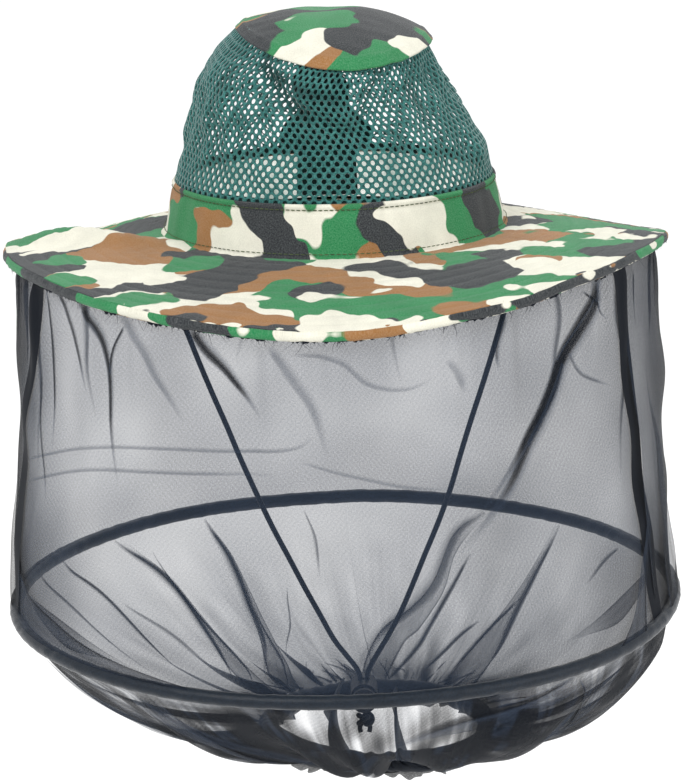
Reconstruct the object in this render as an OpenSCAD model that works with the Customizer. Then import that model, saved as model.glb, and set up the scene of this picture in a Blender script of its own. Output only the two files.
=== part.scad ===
// Beekeeping veil: a wide-brimmed camouflage hat with a mesh crown, and a net that hangs
// from the brim over a steel hoop and gathers to an elastic neck opening.
// Millimetres. +Z is up, the hat faces -Y and +X is to the right in a front view.
// The origin is the centre of the head opening, level with the seam of crown and brim.

/* [Crown] */
// Radius of the head opening, outside the crown band
head_r = 91; // [86:0.5:96]
// Height of the camouflage crown band
band_h = 28; // [20:1:34]
// How far the crown band leans in by its top edge
band_lean = 6; // [2:0.5:9]
// Mean height of the crown seam at the sides
seam_side_z = 105; // [96:1:116]
// Height of the crown seam at the front and rear
seam_front_z = 96; // [86:1:104]
// How far the crown seam stands above its mean on the left, and below it on the right
crown_tilt = 4; // [0:0.5:6]
// Half width of the oval tip panel
tip_half_w = 51; // [44:1:58]
// Half depth of the oval tip panel
tip_half_d = 62; // [54:1:68]
// Height of the crown's highest point
crown_top_z = 115; // [110:1:130]

/* [Brim] */
// Radius of the brim over its edge binding
brim_r = 176.5; // [160:0.5:190]
// Mean drop of the brim's edge below the head opening
brim_drop = 16; // [8:1:24]
// How far the sides stand above, and the front and rear below, the mean
brim_saddle = 8; // [0:0.5:12]
// How far the front edge is raised and the rear edge lowered
brim_tilt = 11; // [0:0.5:12]
// Height of the three waves round the edge, highest to the left and right of the front
brim_wave = 4; // [0:0.5:6]
// How far the front right and rear left of the edge are raised, and the others lowered
brim_twist = 2; // [0:0.5:4]
// Thickness of one cotton layer
cotton_t = 0.8; // [0.6:0.1:1.6]
// Thickness of the felt between the cotton layers
felt_t = 1; // [0.8:0.1:2]

/* [Hoop and net] */
// Radius of the hoop at the middle of its wire
hoop_r = 180; // [174:1:186]
// Depth of the hoop below the head opening
hoop_drop = 204; // [180:1:230]
// Radius of the hoop's steel wire
wire_r = 1.5; // [1:0.1:2]
// Outer radius of the casing round the wire
casing_r = 4; // [3.4:0.1:5]
// Thickness that stands for the net with its folds
net_t = 1.2; // [0.8:0.1:2]
// Width of the doubled side seam strips
seam_w = 14; // [8:1:20]

/* [Neck] */
// Radius of the neck opening inside its casing
neck_r = 55; // [45:1:70]
// Depth of the neck casing's middle below the head opening
neck_drop = 285; // [270:1:300]
// How far the neck opening sits to the right of the hat's middle
neck_x = 16; // [6:1:18]
// Radius of the rolled neck casing
neck_casing_r = 6; // [5:0.5:8]

/* [Chin cord] */
// Diameter of the chin cord
cord_d = 3; // [2:0.5:4]
// Radius of the cord lock's barrel
lock_r = 7.5; // [7:0.5:9]
// Length of the cord lock's barrel, front to rear
lock_l = 19; // [18:1:22]
// Travel of the cord lock's button
button_travel = 4; // [2:0.5:4]

/* [Hidden] */

gap = 0.2;                 // clearance between sewn layers
mesh_t = 1.4;              // wall of the athletic mesh
ring_steps = 48;           // facets round the cloth rings
brim_steps = 120;          // facets round the brim
brim_root_r = head_r - 1.6; // the brim's inner edge runs just under the crown band
brim_stack = 2 * cotton_t + felt_t + 2 * gap; // thickness of the three brim layers
binding_t = 0.7;
binding_w = 7;             // width of the binding on top of the brim
brim_cloth_r = brim_r - binding_t - gap;
hem_r = brim_r - 7.4;      // outer edge of the net's top hem
hem_w = 6.6;
hem_t = 1;
net_top_r = hem_r + 0.4;   // the net leaves the hem along its outer edge
net_levels = [0, 0.12, 0.35, 0.6, 0.8, 1]; // shares of the net's height with an outline
seam_left_a = [207, 190];  // angle of the left side seam at the net's top and foot
seam_right_a = [327, 337]; // the same for the right side seam
hoop_z = -hoop_drop;
seam_half = seam_w / 2 / hoop_r * 180 / PI; // half angle of a side seam
neck_z = -neck_drop;
casing_gap = 0.4;          // clearance of the wire inside its casing
lock_x = 9;                // the cord lock hangs where the two strands meet
lock_z = -264;
strand = cord_d / 2 + 0.4; // half the spacing of the strands in the lock
knot_top_z = -276;         // where the strands run into the end knot
tab_x = 97;                // distance of the cord tabs from the middle
tab_z = -brim_stack - 1.6; // upper face of the cord tabs
black = [0.05, 0.055, 0.065];
net_black = [0.06, 0.07, 0.08, 0.5];
camo_green = [0.18, 0.52, 0.30];
mesh_green = [0.05, 0.27, 0.25];

// ---- Outlines as functions of the angle round the hat ----

// Height of the brim's edge, waved as the worn cloth lies
function edge_z(a) = -brim_drop + brim_saddle * cos(2 * a) - brim_tilt * sin(a)
    - brim_wave * sin(3 * a) - brim_twist * sin(2 * a);

// Height of the brim's upper face at radius r
function brim_z(a, r) = edge_z(a) * pow(max(0, (r - head_r) / (brim_r - head_r)), 1.3);

// Height of the seam between the mesh and the tip panel
function seam_z(a) =
    seam_front_z + (seam_side_z - seam_front_z) * pow(cos(a), 2) - crown_tilt * cos(a);

// Share of the lean that the crown has taken at share t of the mesh's height
function crown_lean(t) = 0.7 * t + 0.3 * pow(t, 4);

// Point on the crown mesh at angle a and share t of its height, moved in by d
function crown_point(a, t, d) =
    let (base = head_r - band_lean,
         half_w = base - (base - tip_half_w) * crown_lean(t) - d,
         half_d = base - (base - tip_half_d) * crown_lean(t) - d,
         low_z = band_h + gap)
    [half_w * cos(a), half_d * sin(a), low_z + (seam_z(a) - low_z) * t];

// Point on the tip panel at angle a and share s of its radius, moved down by d
function tip_point(a, s, d) =
    let (rise = 1 - pow(s, 2.4))
    [(tip_half_w + 1) * s * cos(a), (tip_half_d + 1) * s * sin(a),
     seam_z(a) * pow(s, 2) + (seam_front_z + 4) * (1 - pow(s, 2))
     + (crown_top_z - seam_front_z - 4) * rise + gap - d];

// Radius of the upper net at share s of the way from the brim down to the hoop
function net_r(s) =
    net_top_r + (hoop_r - net_top_r) * pow(s, 3) + 2.5 * sin(180 * s);

// Point on the upper net, moved out by d
function net_point(a, s, d) =
    let (top_z = brim_z(a, net_top_r) - brim_stack - 3 * gap - hem_t,
         foot_z = hoop_z + casing_r + gap)
    [(net_r(s) + d) * cos(a), (net_r(s) + d) * sin(a), top_z + (foot_z - top_z) * s];

// Point on the lower net at share s of the way from the hoop in to the neck, moved down by d
function lower_point(a, s, d) =
    let (outer_r = hoop_r - 1,
         inner_r = neck_r + neck_casing_r + 3,
         r = outer_r + (inner_r - outer_r) * pow(s, 1.25),
         top_z = hoop_z - casing_r - 2 * gap,
         foot_z = neck_z + neck_casing_r + 1,
         z = top_z + (foot_z - top_z) * pow(sin(90 * s), 0.9))
    [r * cos(a) + neck_x * s, r * sin(a), z - d];

// ---- Builders ----

// Faces between the k-point outlines of consecutive stations
function skin_faces(n, k, closed) =
    [for (i = [0 : n - (closed ? 1 : 2)], j = [0 : k - 1], half = [0, 1])
        let (p = i * k + j, q = i * k + (j + 1) % k,
             r = ((i + 1) % n) * k + j, s = ((i + 1) % n) * k + (j + 1) % k)
        half == 0 ? [p, q, s] : [p, s, r]];

// Solid that joins the outlines in a list; a closed one runs back to the first
module skin(outlines, closed = true) {
    n = len(outlines);
    k = len(outlines[0]);
    caps = closed ? [] : [[for (j = [k - 1 : -1 : 0]) j],
                          [for (j = [0 : k - 1]) (n - 1) * k + j]];
    polyhedron(points = [for (o = outlines, p = o) p],
               faces = concat(skin_faces(n, k, closed), caps), convexity = 6);
}

// Ring round the hat: radii and heights are given by a section of [r, offset] on the brim
module brim_ring(section) {
    skin([for (i = [0 : brim_steps - 1])
        let (a = -360 * i / brim_steps)
        [for (p = section) [p[0] * cos(a), p[0] * sin(a), brim_z(a, p[0]) + p[1]]]]);
}

// One flat layer of the brim, from offset top down by t
module brim_layer(top, t) {
    radii = [brim_root_r, 112, 134, 155, brim_cloth_r];
    brim_ring(concat([for (i = [0 : 4]) [radii[i], top]],
                     [for (i = [4 : -1 : 0]) [radii[i], top - t]]));
}

// Torus on the hoop's axis with middle radius r and tube radius t
module hoop_torus(r, t) {
    translate([0, 0, hoop_z])
        rotate_extrude($fn = 128) translate([r, 0]) circle(r = t, $fn = 32);
}

// Angle at share s of the net's height, where ends are the angles at its top and foot
function lean_a(ends, s) = ends[0] + (ends[1] - ends[0]) * s;

// Part of the upper net between two slanting edges
module net_panel(from, to) {
    steps = 26;
    last = len(net_levels) - 1;
    skin([for (i = [0 : steps])
        let (ends = to + (from - to) * i / steps)
        concat([for (s = net_levels) net_point(lean_a(ends, s), s, net_t)],
               [for (j = [last : -1 : 0])
                   net_point(lean_a(ends, net_levels[j]), net_levels[j], 0)])],
        closed = false);
}

// Direction along a route, and the normal to it that lies in the XZ plane
function way(route, i) =
    let (n = len(route), d = route[min(i + 1, n - 1)] - route[max(i - 1, 0)])
    d / norm(d);
function across(d) = let (c = cross(d, [0, 1, 0])) c / norm(c);

// Tube of diameter d along a route that never runs parallel to Y
module cord(route, d) {
    steps = 8;
    skin([for (i = [0 : len(route) - 1])
        let (w = way(route, i), u = across(w), v = cross(w, u))
        [for (j = [0 : steps - 1])
            let (a = 360 * j / steps)
            route[i] + (d / 2) * (cos(a) * u + sin(a) * v)]],
        closed = false);
}

// Flat strap of width w and thickness t along a route, turned by twist degrees at each point
module strap(route, w, t, twist) {
    skin([for (i = [0 : len(route) - 1])
        let (y = way(route, i), u0 = cross(y, [0, 0, 1]) / norm(cross(y, [0, 0, 1])),
             v0 = cross(y, u0), a = twist[i],
             u = cos(a) * u0 + sin(a) * v0, v = cos(a) * v0 - sin(a) * u0)
        [route[i] + u * w / 2 + v * t / 2, route[i] - u * w / 2 + v * t / 2,
         route[i] - u * w / 2 - v * t / 2, route[i] + u * w / 2 - v * t / 2]],
        closed = false);
}

// ---- Routes ----

// Left chin cord: from its tab, down through the lock to the end knot
cord_left_route = [[-97, 0, -9], [-97, 0, -13], [-96, 0, -18], [-93, 0, -28], [-88, 0, -41],
                   [-82, 0, -55], [-76, 0, -72], [-69, 0, -91], [-62, 0, -109],
                   [-55, 0, -128], [-47, 0, -148], [-39, 0, -167], [-30, 0, -186],
                   [-22, 0, -203], [-14, 0, -219], [-7, 0, -233], [0, 0, -243],
                   [5, 0, -250], [7, 0, -256], [7, 0, -264], [7, 0, -270], [7, 0, -276]];
// Right chin cord: the same on its own side
cord_right_route = [[97, 0, -9], [97, 0, -13], [97, 0, -18], [95, 0, -28], [92, 0, -41],
                    [88, 0, -55], [83, 0, -72], [77, 0, -91], [71, 0, -109],
                    [65, 0, -128], [59, 0, -148], [52, 0, -167], [44, 0, -186],
                    [37, 0, -203], [30, 0, -219], [23, 0, -232], [17, 0, -242],
                    [13, 0, -249], [11, 0, -255], [11, 0, -264], [11, 0, -270], [11, 0, -276]];

// ---- Hat ----

module crown_tip() {
    shares = [1, 0.86, 0.66, 0.42, 0.18];
    outer = [for (s = shares, i = [0 : ring_steps - 1]) tip_point(360 * i / ring_steps, s, 0)];
    inner = [for (s = shares, i = [0 : ring_steps - 1])
        tip_point(360 * i / ring_steps, s, cotton_t)];
    n = ring_steps;
    half = n * len(shares);
    last = half - n;
    wall = [for (j = [0 : len(shares) - 2], i = [0 : n - 1], corner = [0, 1])
        let (p = j * n + i, q = j * n + (i + 1) % n)
        corner == 0 ? [p, p + n, q] : [q, p + n, q + n]];
    lid = [for (i = [0 : n - 1]) [last + i, 2 * half, last + (i + 1) % n]];
    rim = [for (i = [0 : n - 1], corner = [0, 1])
        let (q = (i + 1) % n)
        corner == 0 ? [i, q, half + i] : [q, half + q, half + i]];
    color(camo_green)
    polyhedron(points = concat(outer, inner, [[0, 0, tip_point(0, 0, 0)[2]],
                                              [0, 0, tip_point(0, 0, cotton_t)[2]]]),
               faces = concat(wall, lid, rim,
                              [for (f = wall) [f[2] + half, f[1] + half, f[0] + half]],
                              [for (f = lid) [f[2] + half, 2 * half + 1, f[0] + half]]),
               convexity = 4);
}

module crown_mesh() {
    levels = [0, 0.2, 0.4, 0.6, 0.75, 0.88, 0.96];
    color(mesh_green)
    skin([for (i = [0 : ring_steps - 1])
        let (a = -360 * i / ring_steps)
        concat([for (t = levels) crown_point(a, t, mesh_t)],
               [for (j = [len(levels) - 1 : -1 : 0]) crown_point(a, levels[j], 0)])]);
}

module crown_band() {
    color(camo_green)
    rotate_extrude($fn = 128)
        polygon([[head_r, gap], [head_r - band_lean, band_h],
                 [head_r - band_lean - cotton_t, band_h], [head_r - cotton_t, gap]]);
}

module sweatband() {
    in = cotton_t + gap;
    color([0.16, 0.17, 0.16])
    rotate_extrude($fn = 128)
        polygon([[head_r - in - 0.4, gap], [head_r - band_lean - in, band_h - 2],
                 [head_r - band_lean - in - cotton_t, band_h - 2],
                 [head_r - in - 0.4 - cotton_t, gap]]);
}

module brim_top_layer() {
    color(camo_green) brim_layer(0, cotton_t);
}

module brim_interlining() {
    color([0.62, 0.62, 0.58]) brim_layer(-cotton_t - gap, felt_t);
}

module brim_under_layer() {
    color([0.30, 0.42, 0.30]) brim_layer(-cotton_t - felt_t - 2 * gap, cotton_t);
}

module brim_edge_binding() {
    over = gap + binding_t;
    under = -brim_stack - gap - binding_t;
    lip = brim_r - binding_w;
    color([0.33, 0.25, 0.16])
    brim_ring([[lip, over], [brim_r, over], [brim_r, under], [lip + 2, under],
               [lip + 2, under + binding_t], [brim_r - binding_t, under + binding_t],
               [brim_r - binding_t, gap], [lip, gap]]);
}

module net_top_hem() {
    top = -brim_stack - gap;
    color(black)
    brim_ring([[hem_r - hem_w, top], [hem_r, top],
               [hem_r, top - hem_t], [hem_r - hem_w, top - hem_t]]);
}

module net_front_panel() {
    edge = [seam_half, seam_half];
    color(net_black) net_panel(seam_left_a + edge, seam_right_a - edge);
}

module net_rear_panel() {
    edge = [seam_half, seam_half];
    turn = [360, 360];
    color(net_black) net_panel(seam_right_a - turn + edge, seam_left_a - edge);
}

// Doubled seam strip down one side of the net
module net_side_seam(ends) {
    last = len(net_levels) - 1;
    half = seam_half - 0.2; // leaves a slit beside each panel
    pad = 0.4;              // the doubled strip stands proud of the net by this
    skin([for (off = [half, 0, -half])
        concat([for (s = net_levels) net_point(lean_a(ends, s) + off, s, net_t + pad)],
               [for (j = [last : -1 : 0])
                   net_point(lean_a(ends, net_levels[j]) + off, net_levels[j], -pad)])],
        closed = false);
}

module net_side_seam_left() {
    color(black) net_side_seam(seam_left_a);
}

module net_side_seam_right() {
    color(black) net_side_seam(seam_right_a);
}

// Sewn loop under the brim: a flat stitched patch with a tongue round the cord's end
module chin_cord_tab(x) {
    patch_t = 1.4;
    tongue_h = 6;
    translate([x, 0, tab_z])
    difference() {
        union() {
            translate([-9, -6, -patch_t]) cube([18, 12, patch_t]);
            translate([-3.5, -4, -patch_t - tongue_h]) cube([7, 8, tongue_h + 0.1]);
        }
        translate([0, 0, -patch_t - tongue_h - 0.1])
            cylinder(r = cord_d / 2 + 0.1, h = tongue_h - 0.9, $fn = 32);
    }
}

module chin_cord_tab_left() {
    color(black) chin_cord_tab(-tab_x);
}

module chin_cord_tab_right() {
    color(black) chin_cord_tab(tab_x);
}

module chin_cord_left() {
    color(black) cord(cord_left_route, cord_d);
}

module chin_cord_right() {
    color(black) cord(cord_right_route, cord_d);
}

// ---- Hoop ----

module hoop_wire() {
    color([0.62, 0.63, 0.65]) hoop_torus(hoop_r, wire_r);
}

// Crimped sleeve over the wire's two ends, at the rear of the hoop
module hoop_joiner() {
    color([0.72, 0.72, 0.74])
    translate([0, 0, hoop_z])
    rotate([0, 0, 85])
    rotate_extrude(angle = 10, $fn = 128)
        translate([hoop_r, 0]) difference() {
            circle(r = casing_r - 1 - casing_gap, $fn = 32);
            circle(r = wire_r + 0.05, $fn = 32);
        }
}

module hoop_casing() {
    color(black)
    translate([0, 0, hoop_z])
    rotate_extrude($fn = 128)
        translate([hoop_r, 0]) difference() {
            circle(r = casing_r, $fn = 32);
            circle(r = casing_r - 1, $fn = 32);
        }
}

module lower_net() {
    levels = [0, 0.12, 0.3, 0.5, 0.7, 0.86, 1];
    color(net_black)
    skin([for (i = [0 : ring_steps - 1])
        let (a = -360 * i / ring_steps)
        concat([for (s = levels) lower_point(a, s, net_t)],
               [for (j = [len(levels) - 1 : -1 : 0]) lower_point(a, levels[j], 0)])]);
}

// ---- Neck ----

module neck_hem_casing() {
    color(black)
    translate([neck_x, 0, neck_z])
    rotate_extrude($fn = 96)
        translate([neck_r + neck_casing_r, 0]) difference() {
            circle(r = neck_casing_r, $fn = 32);
            circle(r = neck_casing_r - 1.2, $fn = 32);
        }
}

module neck_elastic() {
    color([0.12, 0.12, 0.13])
    translate([neck_x, 0, neck_z])
    rotate_extrude($fn = 96)
        translate([neck_r + neck_casing_r - 0.75, -3.5]) square([1.5, 7]);
}

// Loose frill of net that stands below the casing
module neck_ruffle() {
    waves = 14;
    color(net_black)
    translate([neck_x, 0, neck_z - neck_casing_r - gap])
    skin([for (i = [0 : 2 * ring_steps - 1])
        let (a = -180 * i / ring_steps, w = 3 * sin(waves * a), r = neck_r + neck_casing_r)
        [[(r - 0.6) * cos(a), (r - 0.6) * sin(a), 0],
         [(r - 0.6 + w) * cos(a), (r - 0.6 + w) * sin(a), -9],
         [(r + 0.6 + w) * cos(a), (r + 0.6 + w) * sin(a), -9],
         [(r + 0.6) * cos(a), (r + 0.6) * sin(a), 0]]]);
}

// Elastic strap across the neck opening, from the rear of the casing to its front
module neck_strap(x_rear, x_front, w) {
    rear_y = sqrt(pow(neck_r, 2) - pow(x_rear, 2)) - 0.6;
    front_y = -sqrt(pow(neck_r, 2) - pow(x_front, 2)) + 0.6;
    n = 8;
    translate([neck_x, 0, neck_z])
    strap([for (i = [0 : n])
              let (s = i / n)
              [x_rear + (x_front - x_rear) * s, rear_y + (front_y - rear_y) * s,
               -7 * sin(180 * s)]],
          w, 1.4, [for (i = [0 : n]) 90 + 180 * i / n]);
}

module strap_left() {
    color(black) neck_strap(-24, -20, 9);
}

module strap_right() {
    color(black) neck_strap(10, 14, 6);
}

// ---- Cord lock ----

// Slot round both strands, from z0 up by h, stretched back to front by slack
module strand_slot(z0, h, slack) {
    r = cord_d / 2 + 0.2;
    for (side = [-1, 1], back = [0, 1])
        translate([side * strand, -back * slack, z0]) cylinder(r = r, h = h, $fn = 32);
    translate([-strand, -r - slack, z0]) cube([2 * strand, 2 * r + slack, h]);
    if (slack > 0)
        translate([-strand - r, -slack, z0]) cube([2 * strand + 2 * r, slack, h]);
}

// The barrel lies front to rear, open at the front, and both strands pass down through it
module cord_lock_body() {
    wall = 1.4;
    color([0.08, 0.08, 0.09])
    translate([lock_x, 0, lock_z])
    difference() {
        translate([0, lock_l / 2, 0]) rotate([90, 0, 0]) cylinder(r = lock_r, h = lock_l, $fn = 64);
        translate([0, lock_l / 2 - wall, 0])
            rotate([90, 0, 0]) cylinder(r = lock_r - wall, h = lock_l, $fn = 64);
        strand_slot(-lock_r - 1, 2 * lock_r + 2, 0);
    }
}

// Coil spring between the barrel's closed end and the button, drawn as its rings
module cord_lock_spring() {
    coils = 3;
    pitch = 1.9;
    color([0.6, 0.6, 0.62])
    translate([lock_x, lock_l / 2 - 2, lock_z])
    for (i = [0 : coils - 1])
        translate([0, -pitch * i - 0.1, 0])
            rotate([90, 0, 0])
            rotate_extrude($fn = 48) translate([lock_r - 3.4, 0]) circle(r = 0.5, $fn = 16);
}

// Button with a stem inside the barrel; its slot leaves the strands room as it is pressed
module cord_lock_button() {
    stem_r = lock_r - 1.7;
    stem_l = lock_l / 2 + 3;
    head_t = 2.5;
    front = -lock_l / 2 - button_travel - 0.3;
    color([0.1, 0.1, 0.11])
    translate([lock_x, 0, lock_z])
    difference() {
        union() {
            translate([0, front + stem_l + button_travel, 0])
                rotate([90, 0, 0]) cylinder(r = stem_r, h = stem_l + button_travel, $fn = 64);
            translate([0, front + 0.1, 0])
                rotate([90, 0, 0]) cylinder(r = lock_r - 0.6, h = head_t, $fn = 64);
        }
        strand_slot(-lock_r - 1, 2 * lock_r + 2, button_travel);
    }
}

// Knot that both strands end in, with two short tails
module cord_end_knot() {
    knot_r = 5.5;
    flat = 3.5;
    tail_l = 4;
    color(black)
    translate([lock_x, 0, knot_top_z - flat])
    union() {
        difference() {
            sphere(r = knot_r, $fn = 48);
            translate([0, 0, flat + knot_r]) cube(2 * knot_r, center = true);
        }
        for (side = [-1, 1])
            translate([side * strand, 0, -flat - 1 - tail_l])
                cylinder(r = cord_d / 2, h = tail_l + 2, $fn = 32);
    }
}

crown_tip();
crown_mesh();
crown_band();
sweatband();
brim_top_layer();
brim_interlining();
brim_under_layer();
brim_edge_binding();
net_top_hem();
net_front_panel();
net_rear_panel();
net_side_seam_left();
net_side_seam_right();
chin_cord_tab_left();
chin_cord_tab_right();
chin_cord_left();
chin_cord_right();
hoop_wire();
hoop_joiner();
hoop_casing();
lower_net();
neck_hem_casing();
neck_elastic();
neck_ruffle();
strap_left();
strap_right();
cord_lock_body();
cord_lock_spring();
cord_lock_button();
cord_end_knot();
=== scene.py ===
"""Looks of the beekeeping veil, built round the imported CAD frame. Metres, +Z up, front is -Y."""
import math

import bpy
import numpy as np
from mathutils import Matrix, Vector


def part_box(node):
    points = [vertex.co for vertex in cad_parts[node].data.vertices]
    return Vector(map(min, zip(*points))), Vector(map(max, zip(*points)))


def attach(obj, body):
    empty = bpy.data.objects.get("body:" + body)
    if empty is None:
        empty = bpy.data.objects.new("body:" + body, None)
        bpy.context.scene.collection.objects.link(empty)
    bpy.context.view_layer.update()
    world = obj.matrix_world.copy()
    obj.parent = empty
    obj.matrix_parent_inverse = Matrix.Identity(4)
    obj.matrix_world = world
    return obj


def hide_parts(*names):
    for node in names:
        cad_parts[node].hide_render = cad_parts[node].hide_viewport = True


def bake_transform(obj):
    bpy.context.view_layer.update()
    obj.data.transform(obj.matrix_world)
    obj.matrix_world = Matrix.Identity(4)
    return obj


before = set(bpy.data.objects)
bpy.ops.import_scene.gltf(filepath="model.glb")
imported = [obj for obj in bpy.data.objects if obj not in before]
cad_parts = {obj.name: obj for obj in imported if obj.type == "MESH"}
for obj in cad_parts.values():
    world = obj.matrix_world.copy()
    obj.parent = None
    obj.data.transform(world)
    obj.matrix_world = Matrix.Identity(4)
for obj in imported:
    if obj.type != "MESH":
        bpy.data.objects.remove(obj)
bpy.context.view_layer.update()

MM = 0.001
FRONT, REAR = math.radians(270), math.radians(90)
TURN = 2 * math.pi

# ---------------------------------------------------------------- sizes from the frame

_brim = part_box("brim_edge_binding")
_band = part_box("crown_band")
_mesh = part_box("crown_mesh")
_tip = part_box("crown_tip")
_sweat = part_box("sweatband")
_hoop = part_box("hoop_casing")
_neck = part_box("neck_hem_casing")
_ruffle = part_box("neck_ruffle")

BRIM_R = _brim[1].x
HEAD_R = _band[1].x
BAND_BOTTOM, BAND_TOP = _band[0].z, _band[1].z
BAND_TOP_R = _mesh[1].x
TIP_W, TIP_D = _tip[1].x - MM, _tip[1].y - MM
CROWN_TOP_Z = _tip[1].z
CASING_R = (_hoop[1].z - _hoop[0].z) / 2
HOOP_R = _hoop[1].x - CASING_R
HOOP_Z = (_hoop[1].z + _hoop[0].z) / 2
NECK_X = (_neck[1].x + _neck[0].x) / 2
NECK_CASING_R = (_neck[1].z - _neck[0].z) / 2
NECK_R = (_neck[1].x - _neck[0].x) / 2 - 2 * NECK_CASING_R
NECK_Z = (_neck[1].z + _neck[0].z) / 2

# Sizes that part.scad drives and a box does not show
SEAM_SIDE_Z, SEAM_FRONT_Z, CROWN_TILT = 105 * MM, 96 * MM, 4 * MM
BRIM_DROP, BRIM_SADDLE, BRIM_TILT = 16 * MM, 8 * MM, 11 * MM
BRIM_WAVE, BRIM_TWIST = 4 * MM, 2 * MM
BRIM_STACK = 3 * MM
NET_TOP_R = BRIM_R - 7 * MM
# Side seams of the net: degrees round the hat at the hem and at the hoop
SEAM_LEFT, SEAM_RIGHT = (207, 190), (327, 337)
CORD_D = 3 * MM
SEAM_W = 14 * MM

# ---------------------------------------------------------------- camera

CAMERA_AT = Vector((0.005, -1.63, 0.33))
CAMERA_PITCH, CAMERA_ROLL = 14.5, -1.5
CAMERA_LENS = 143.1

def make_camera():
    """The photograph's view: from the front, a little above, with a long lens."""
    camera = bpy.data.objects.new("camera", bpy.data.cameras.new("camera"))
    bpy.context.scene.collection.objects.link(camera)
    camera.data.lens = CAMERA_LENS
    camera.matrix_world = (
        Matrix.Translation(CAMERA_AT)
        @ Matrix.Rotation(math.radians(90 - CAMERA_PITCH), 4, "X")
        @ Matrix.Rotation(math.radians(CAMERA_ROLL), 4, "Z")
    )
    bpy.context.scene.camera = camera

make_camera()

# ---------------------------------------------------------------- mesh helpers

def smooth_step(t):
    t = np.clip(t, 0, 1)
    return t * t * (3 - 2 * t)

def bump(x, centre, width):
    """1 at the centre, falling to 0 as a bell of that half width."""
    return np.exp(-(((x - centre) / width) ** 2))

def turned(angle, centre):
    """Angle measured from the centre, between minus and plus half a turn."""
    return (angle - centre + math.pi) % TURN - math.pi

def waves(x, y, size, seed, count=7):
    """Smooth wrinkle field of that feature size over the plane, between about -1 and 1."""
    draw = np.random.default_rng(seed)
    total = np.zeros(np.broadcast(x, y).shape)
    for _ in range(count):
        way, phase = draw.uniform(0, TURN, 2)
        stretch = draw.uniform(0.6, 1.6)
        k = TURN / (size * stretch)
        total = total + np.sin(k * (x * math.cos(way) + y * math.sin(way)) + phase)
    return total / math.sqrt(count)

def once_round(count):
    """Column of angles once round the hat, from the rear back to it."""
    return np.linspace(REAR, REAR + TURN, count)[:, None]

def shares(count):
    """Row of shares from 0 to 1."""
    return np.linspace(0, 1, count)[None]

def ring_angles(steps, sides):
    """Angles round the hat and round a tube's section, with no doubled end."""
    a = (REAR + np.arange(steps) * TURN / steps)[:, None]
    return a, (np.arange(sides) * TURN / sides)[None]

def new_object(name, vertices, faces, material):
    """Smooth-shaded mesh object in the scene."""
    mesh = bpy.data.meshes.new(name)
    mesh.from_pydata(np.asarray(vertices, float).reshape(-1, 3).tolist(), [], faces)
    mesh.polygons.foreach_set("use_smooth", [True] * len(mesh.polygons))
    mesh.materials.append(material)
    mesh.update()
    piece = bpy.data.objects.new(name, mesh)
    bpy.context.scene.collection.objects.link(piece)
    return piece

def store(piece, name, values, kind="FLOAT"):
    """A value for each vertex, which a material reads by name."""
    layer = piece.data.attributes.new(name, kind, "POINT")
    flat = np.asarray(values, np.float32).ravel()
    layer.data.foreach_set("value" if kind == "FLOAT" else "vector", flat)

def grid_faces(rows, columns, close_rows=False, close_columns=False, start=0):
    faces = []
    for i in range(rows if close_rows else rows - 1):
        for j in range(columns if close_columns else columns - 1):
            i2, j2 = (i + 1) % rows, (j + 1) % columns
            faces.append((start + i * columns + j, start + i2 * columns + j,
                          start + i2 * columns + j2, start + i * columns + j2))
    return faces

def grid(name, points, material, cloth=None, **close):
    """Surface through an array of points [row, column, xyz]."""
    rows, columns = points.shape[:2]
    piece = new_object(name, points, grid_faces(rows, columns, **close), material)
    if cloth is not None:
        store(piece, "cloth", cloth, "FLOAT_VECTOR")
    return piece

def surfaces(name, parts, material):
    """One piece from several arrays of points [row, column, xyz]."""
    faces, start = [], 0
    for points in parts:
        rows, columns = points.shape[:2]
        faces += grid_faces(rows, columns, start=start)
        start += rows * columns
    return new_object(name, np.concatenate([p.reshape(-1, 3) for p in parts]), faces, material)

def thicken(piece, thickness, offset=-1.0):
    """Gives a surface real thickness; offset is the Solidify modifier's own."""
    modifier = piece.modifiers.new("thickness", "SOLIDIFY")
    modifier.thickness = thickness
    modifier.offset = offset
    modifier.use_even_offset = False
    graph = bpy.context.evaluated_depsgraph_get()
    mesh = bpy.data.meshes.new_from_object(piece.evaluated_get(graph))
    piece.modifiers.clear()
    piece.data = mesh
    return piece

def polar(radius, angle, z):
    return np.stack(np.broadcast_arrays(radius * np.cos(angle), radius * np.sin(angle), z), -1)

def flat_cloth(u, v):
    """Cloth coordinates from the distances along and across a piece."""
    u, v = np.broadcast_arrays(u, v)
    return np.stack([u, v, 0 * u], -1)

def outward(points):
    """Level unit vectors that point away from the hat's axis."""
    level = points * (1, 1, 0)
    return level / np.linalg.norm(level, axis=-1, keepdims=True)

def surface_normals(points):
    n = np.cross(np.gradient(points, axis=0), np.gradient(points, axis=1))
    return n / np.maximum(np.linalg.norm(n, axis=-1, keepdims=True), 1e-12)

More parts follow.
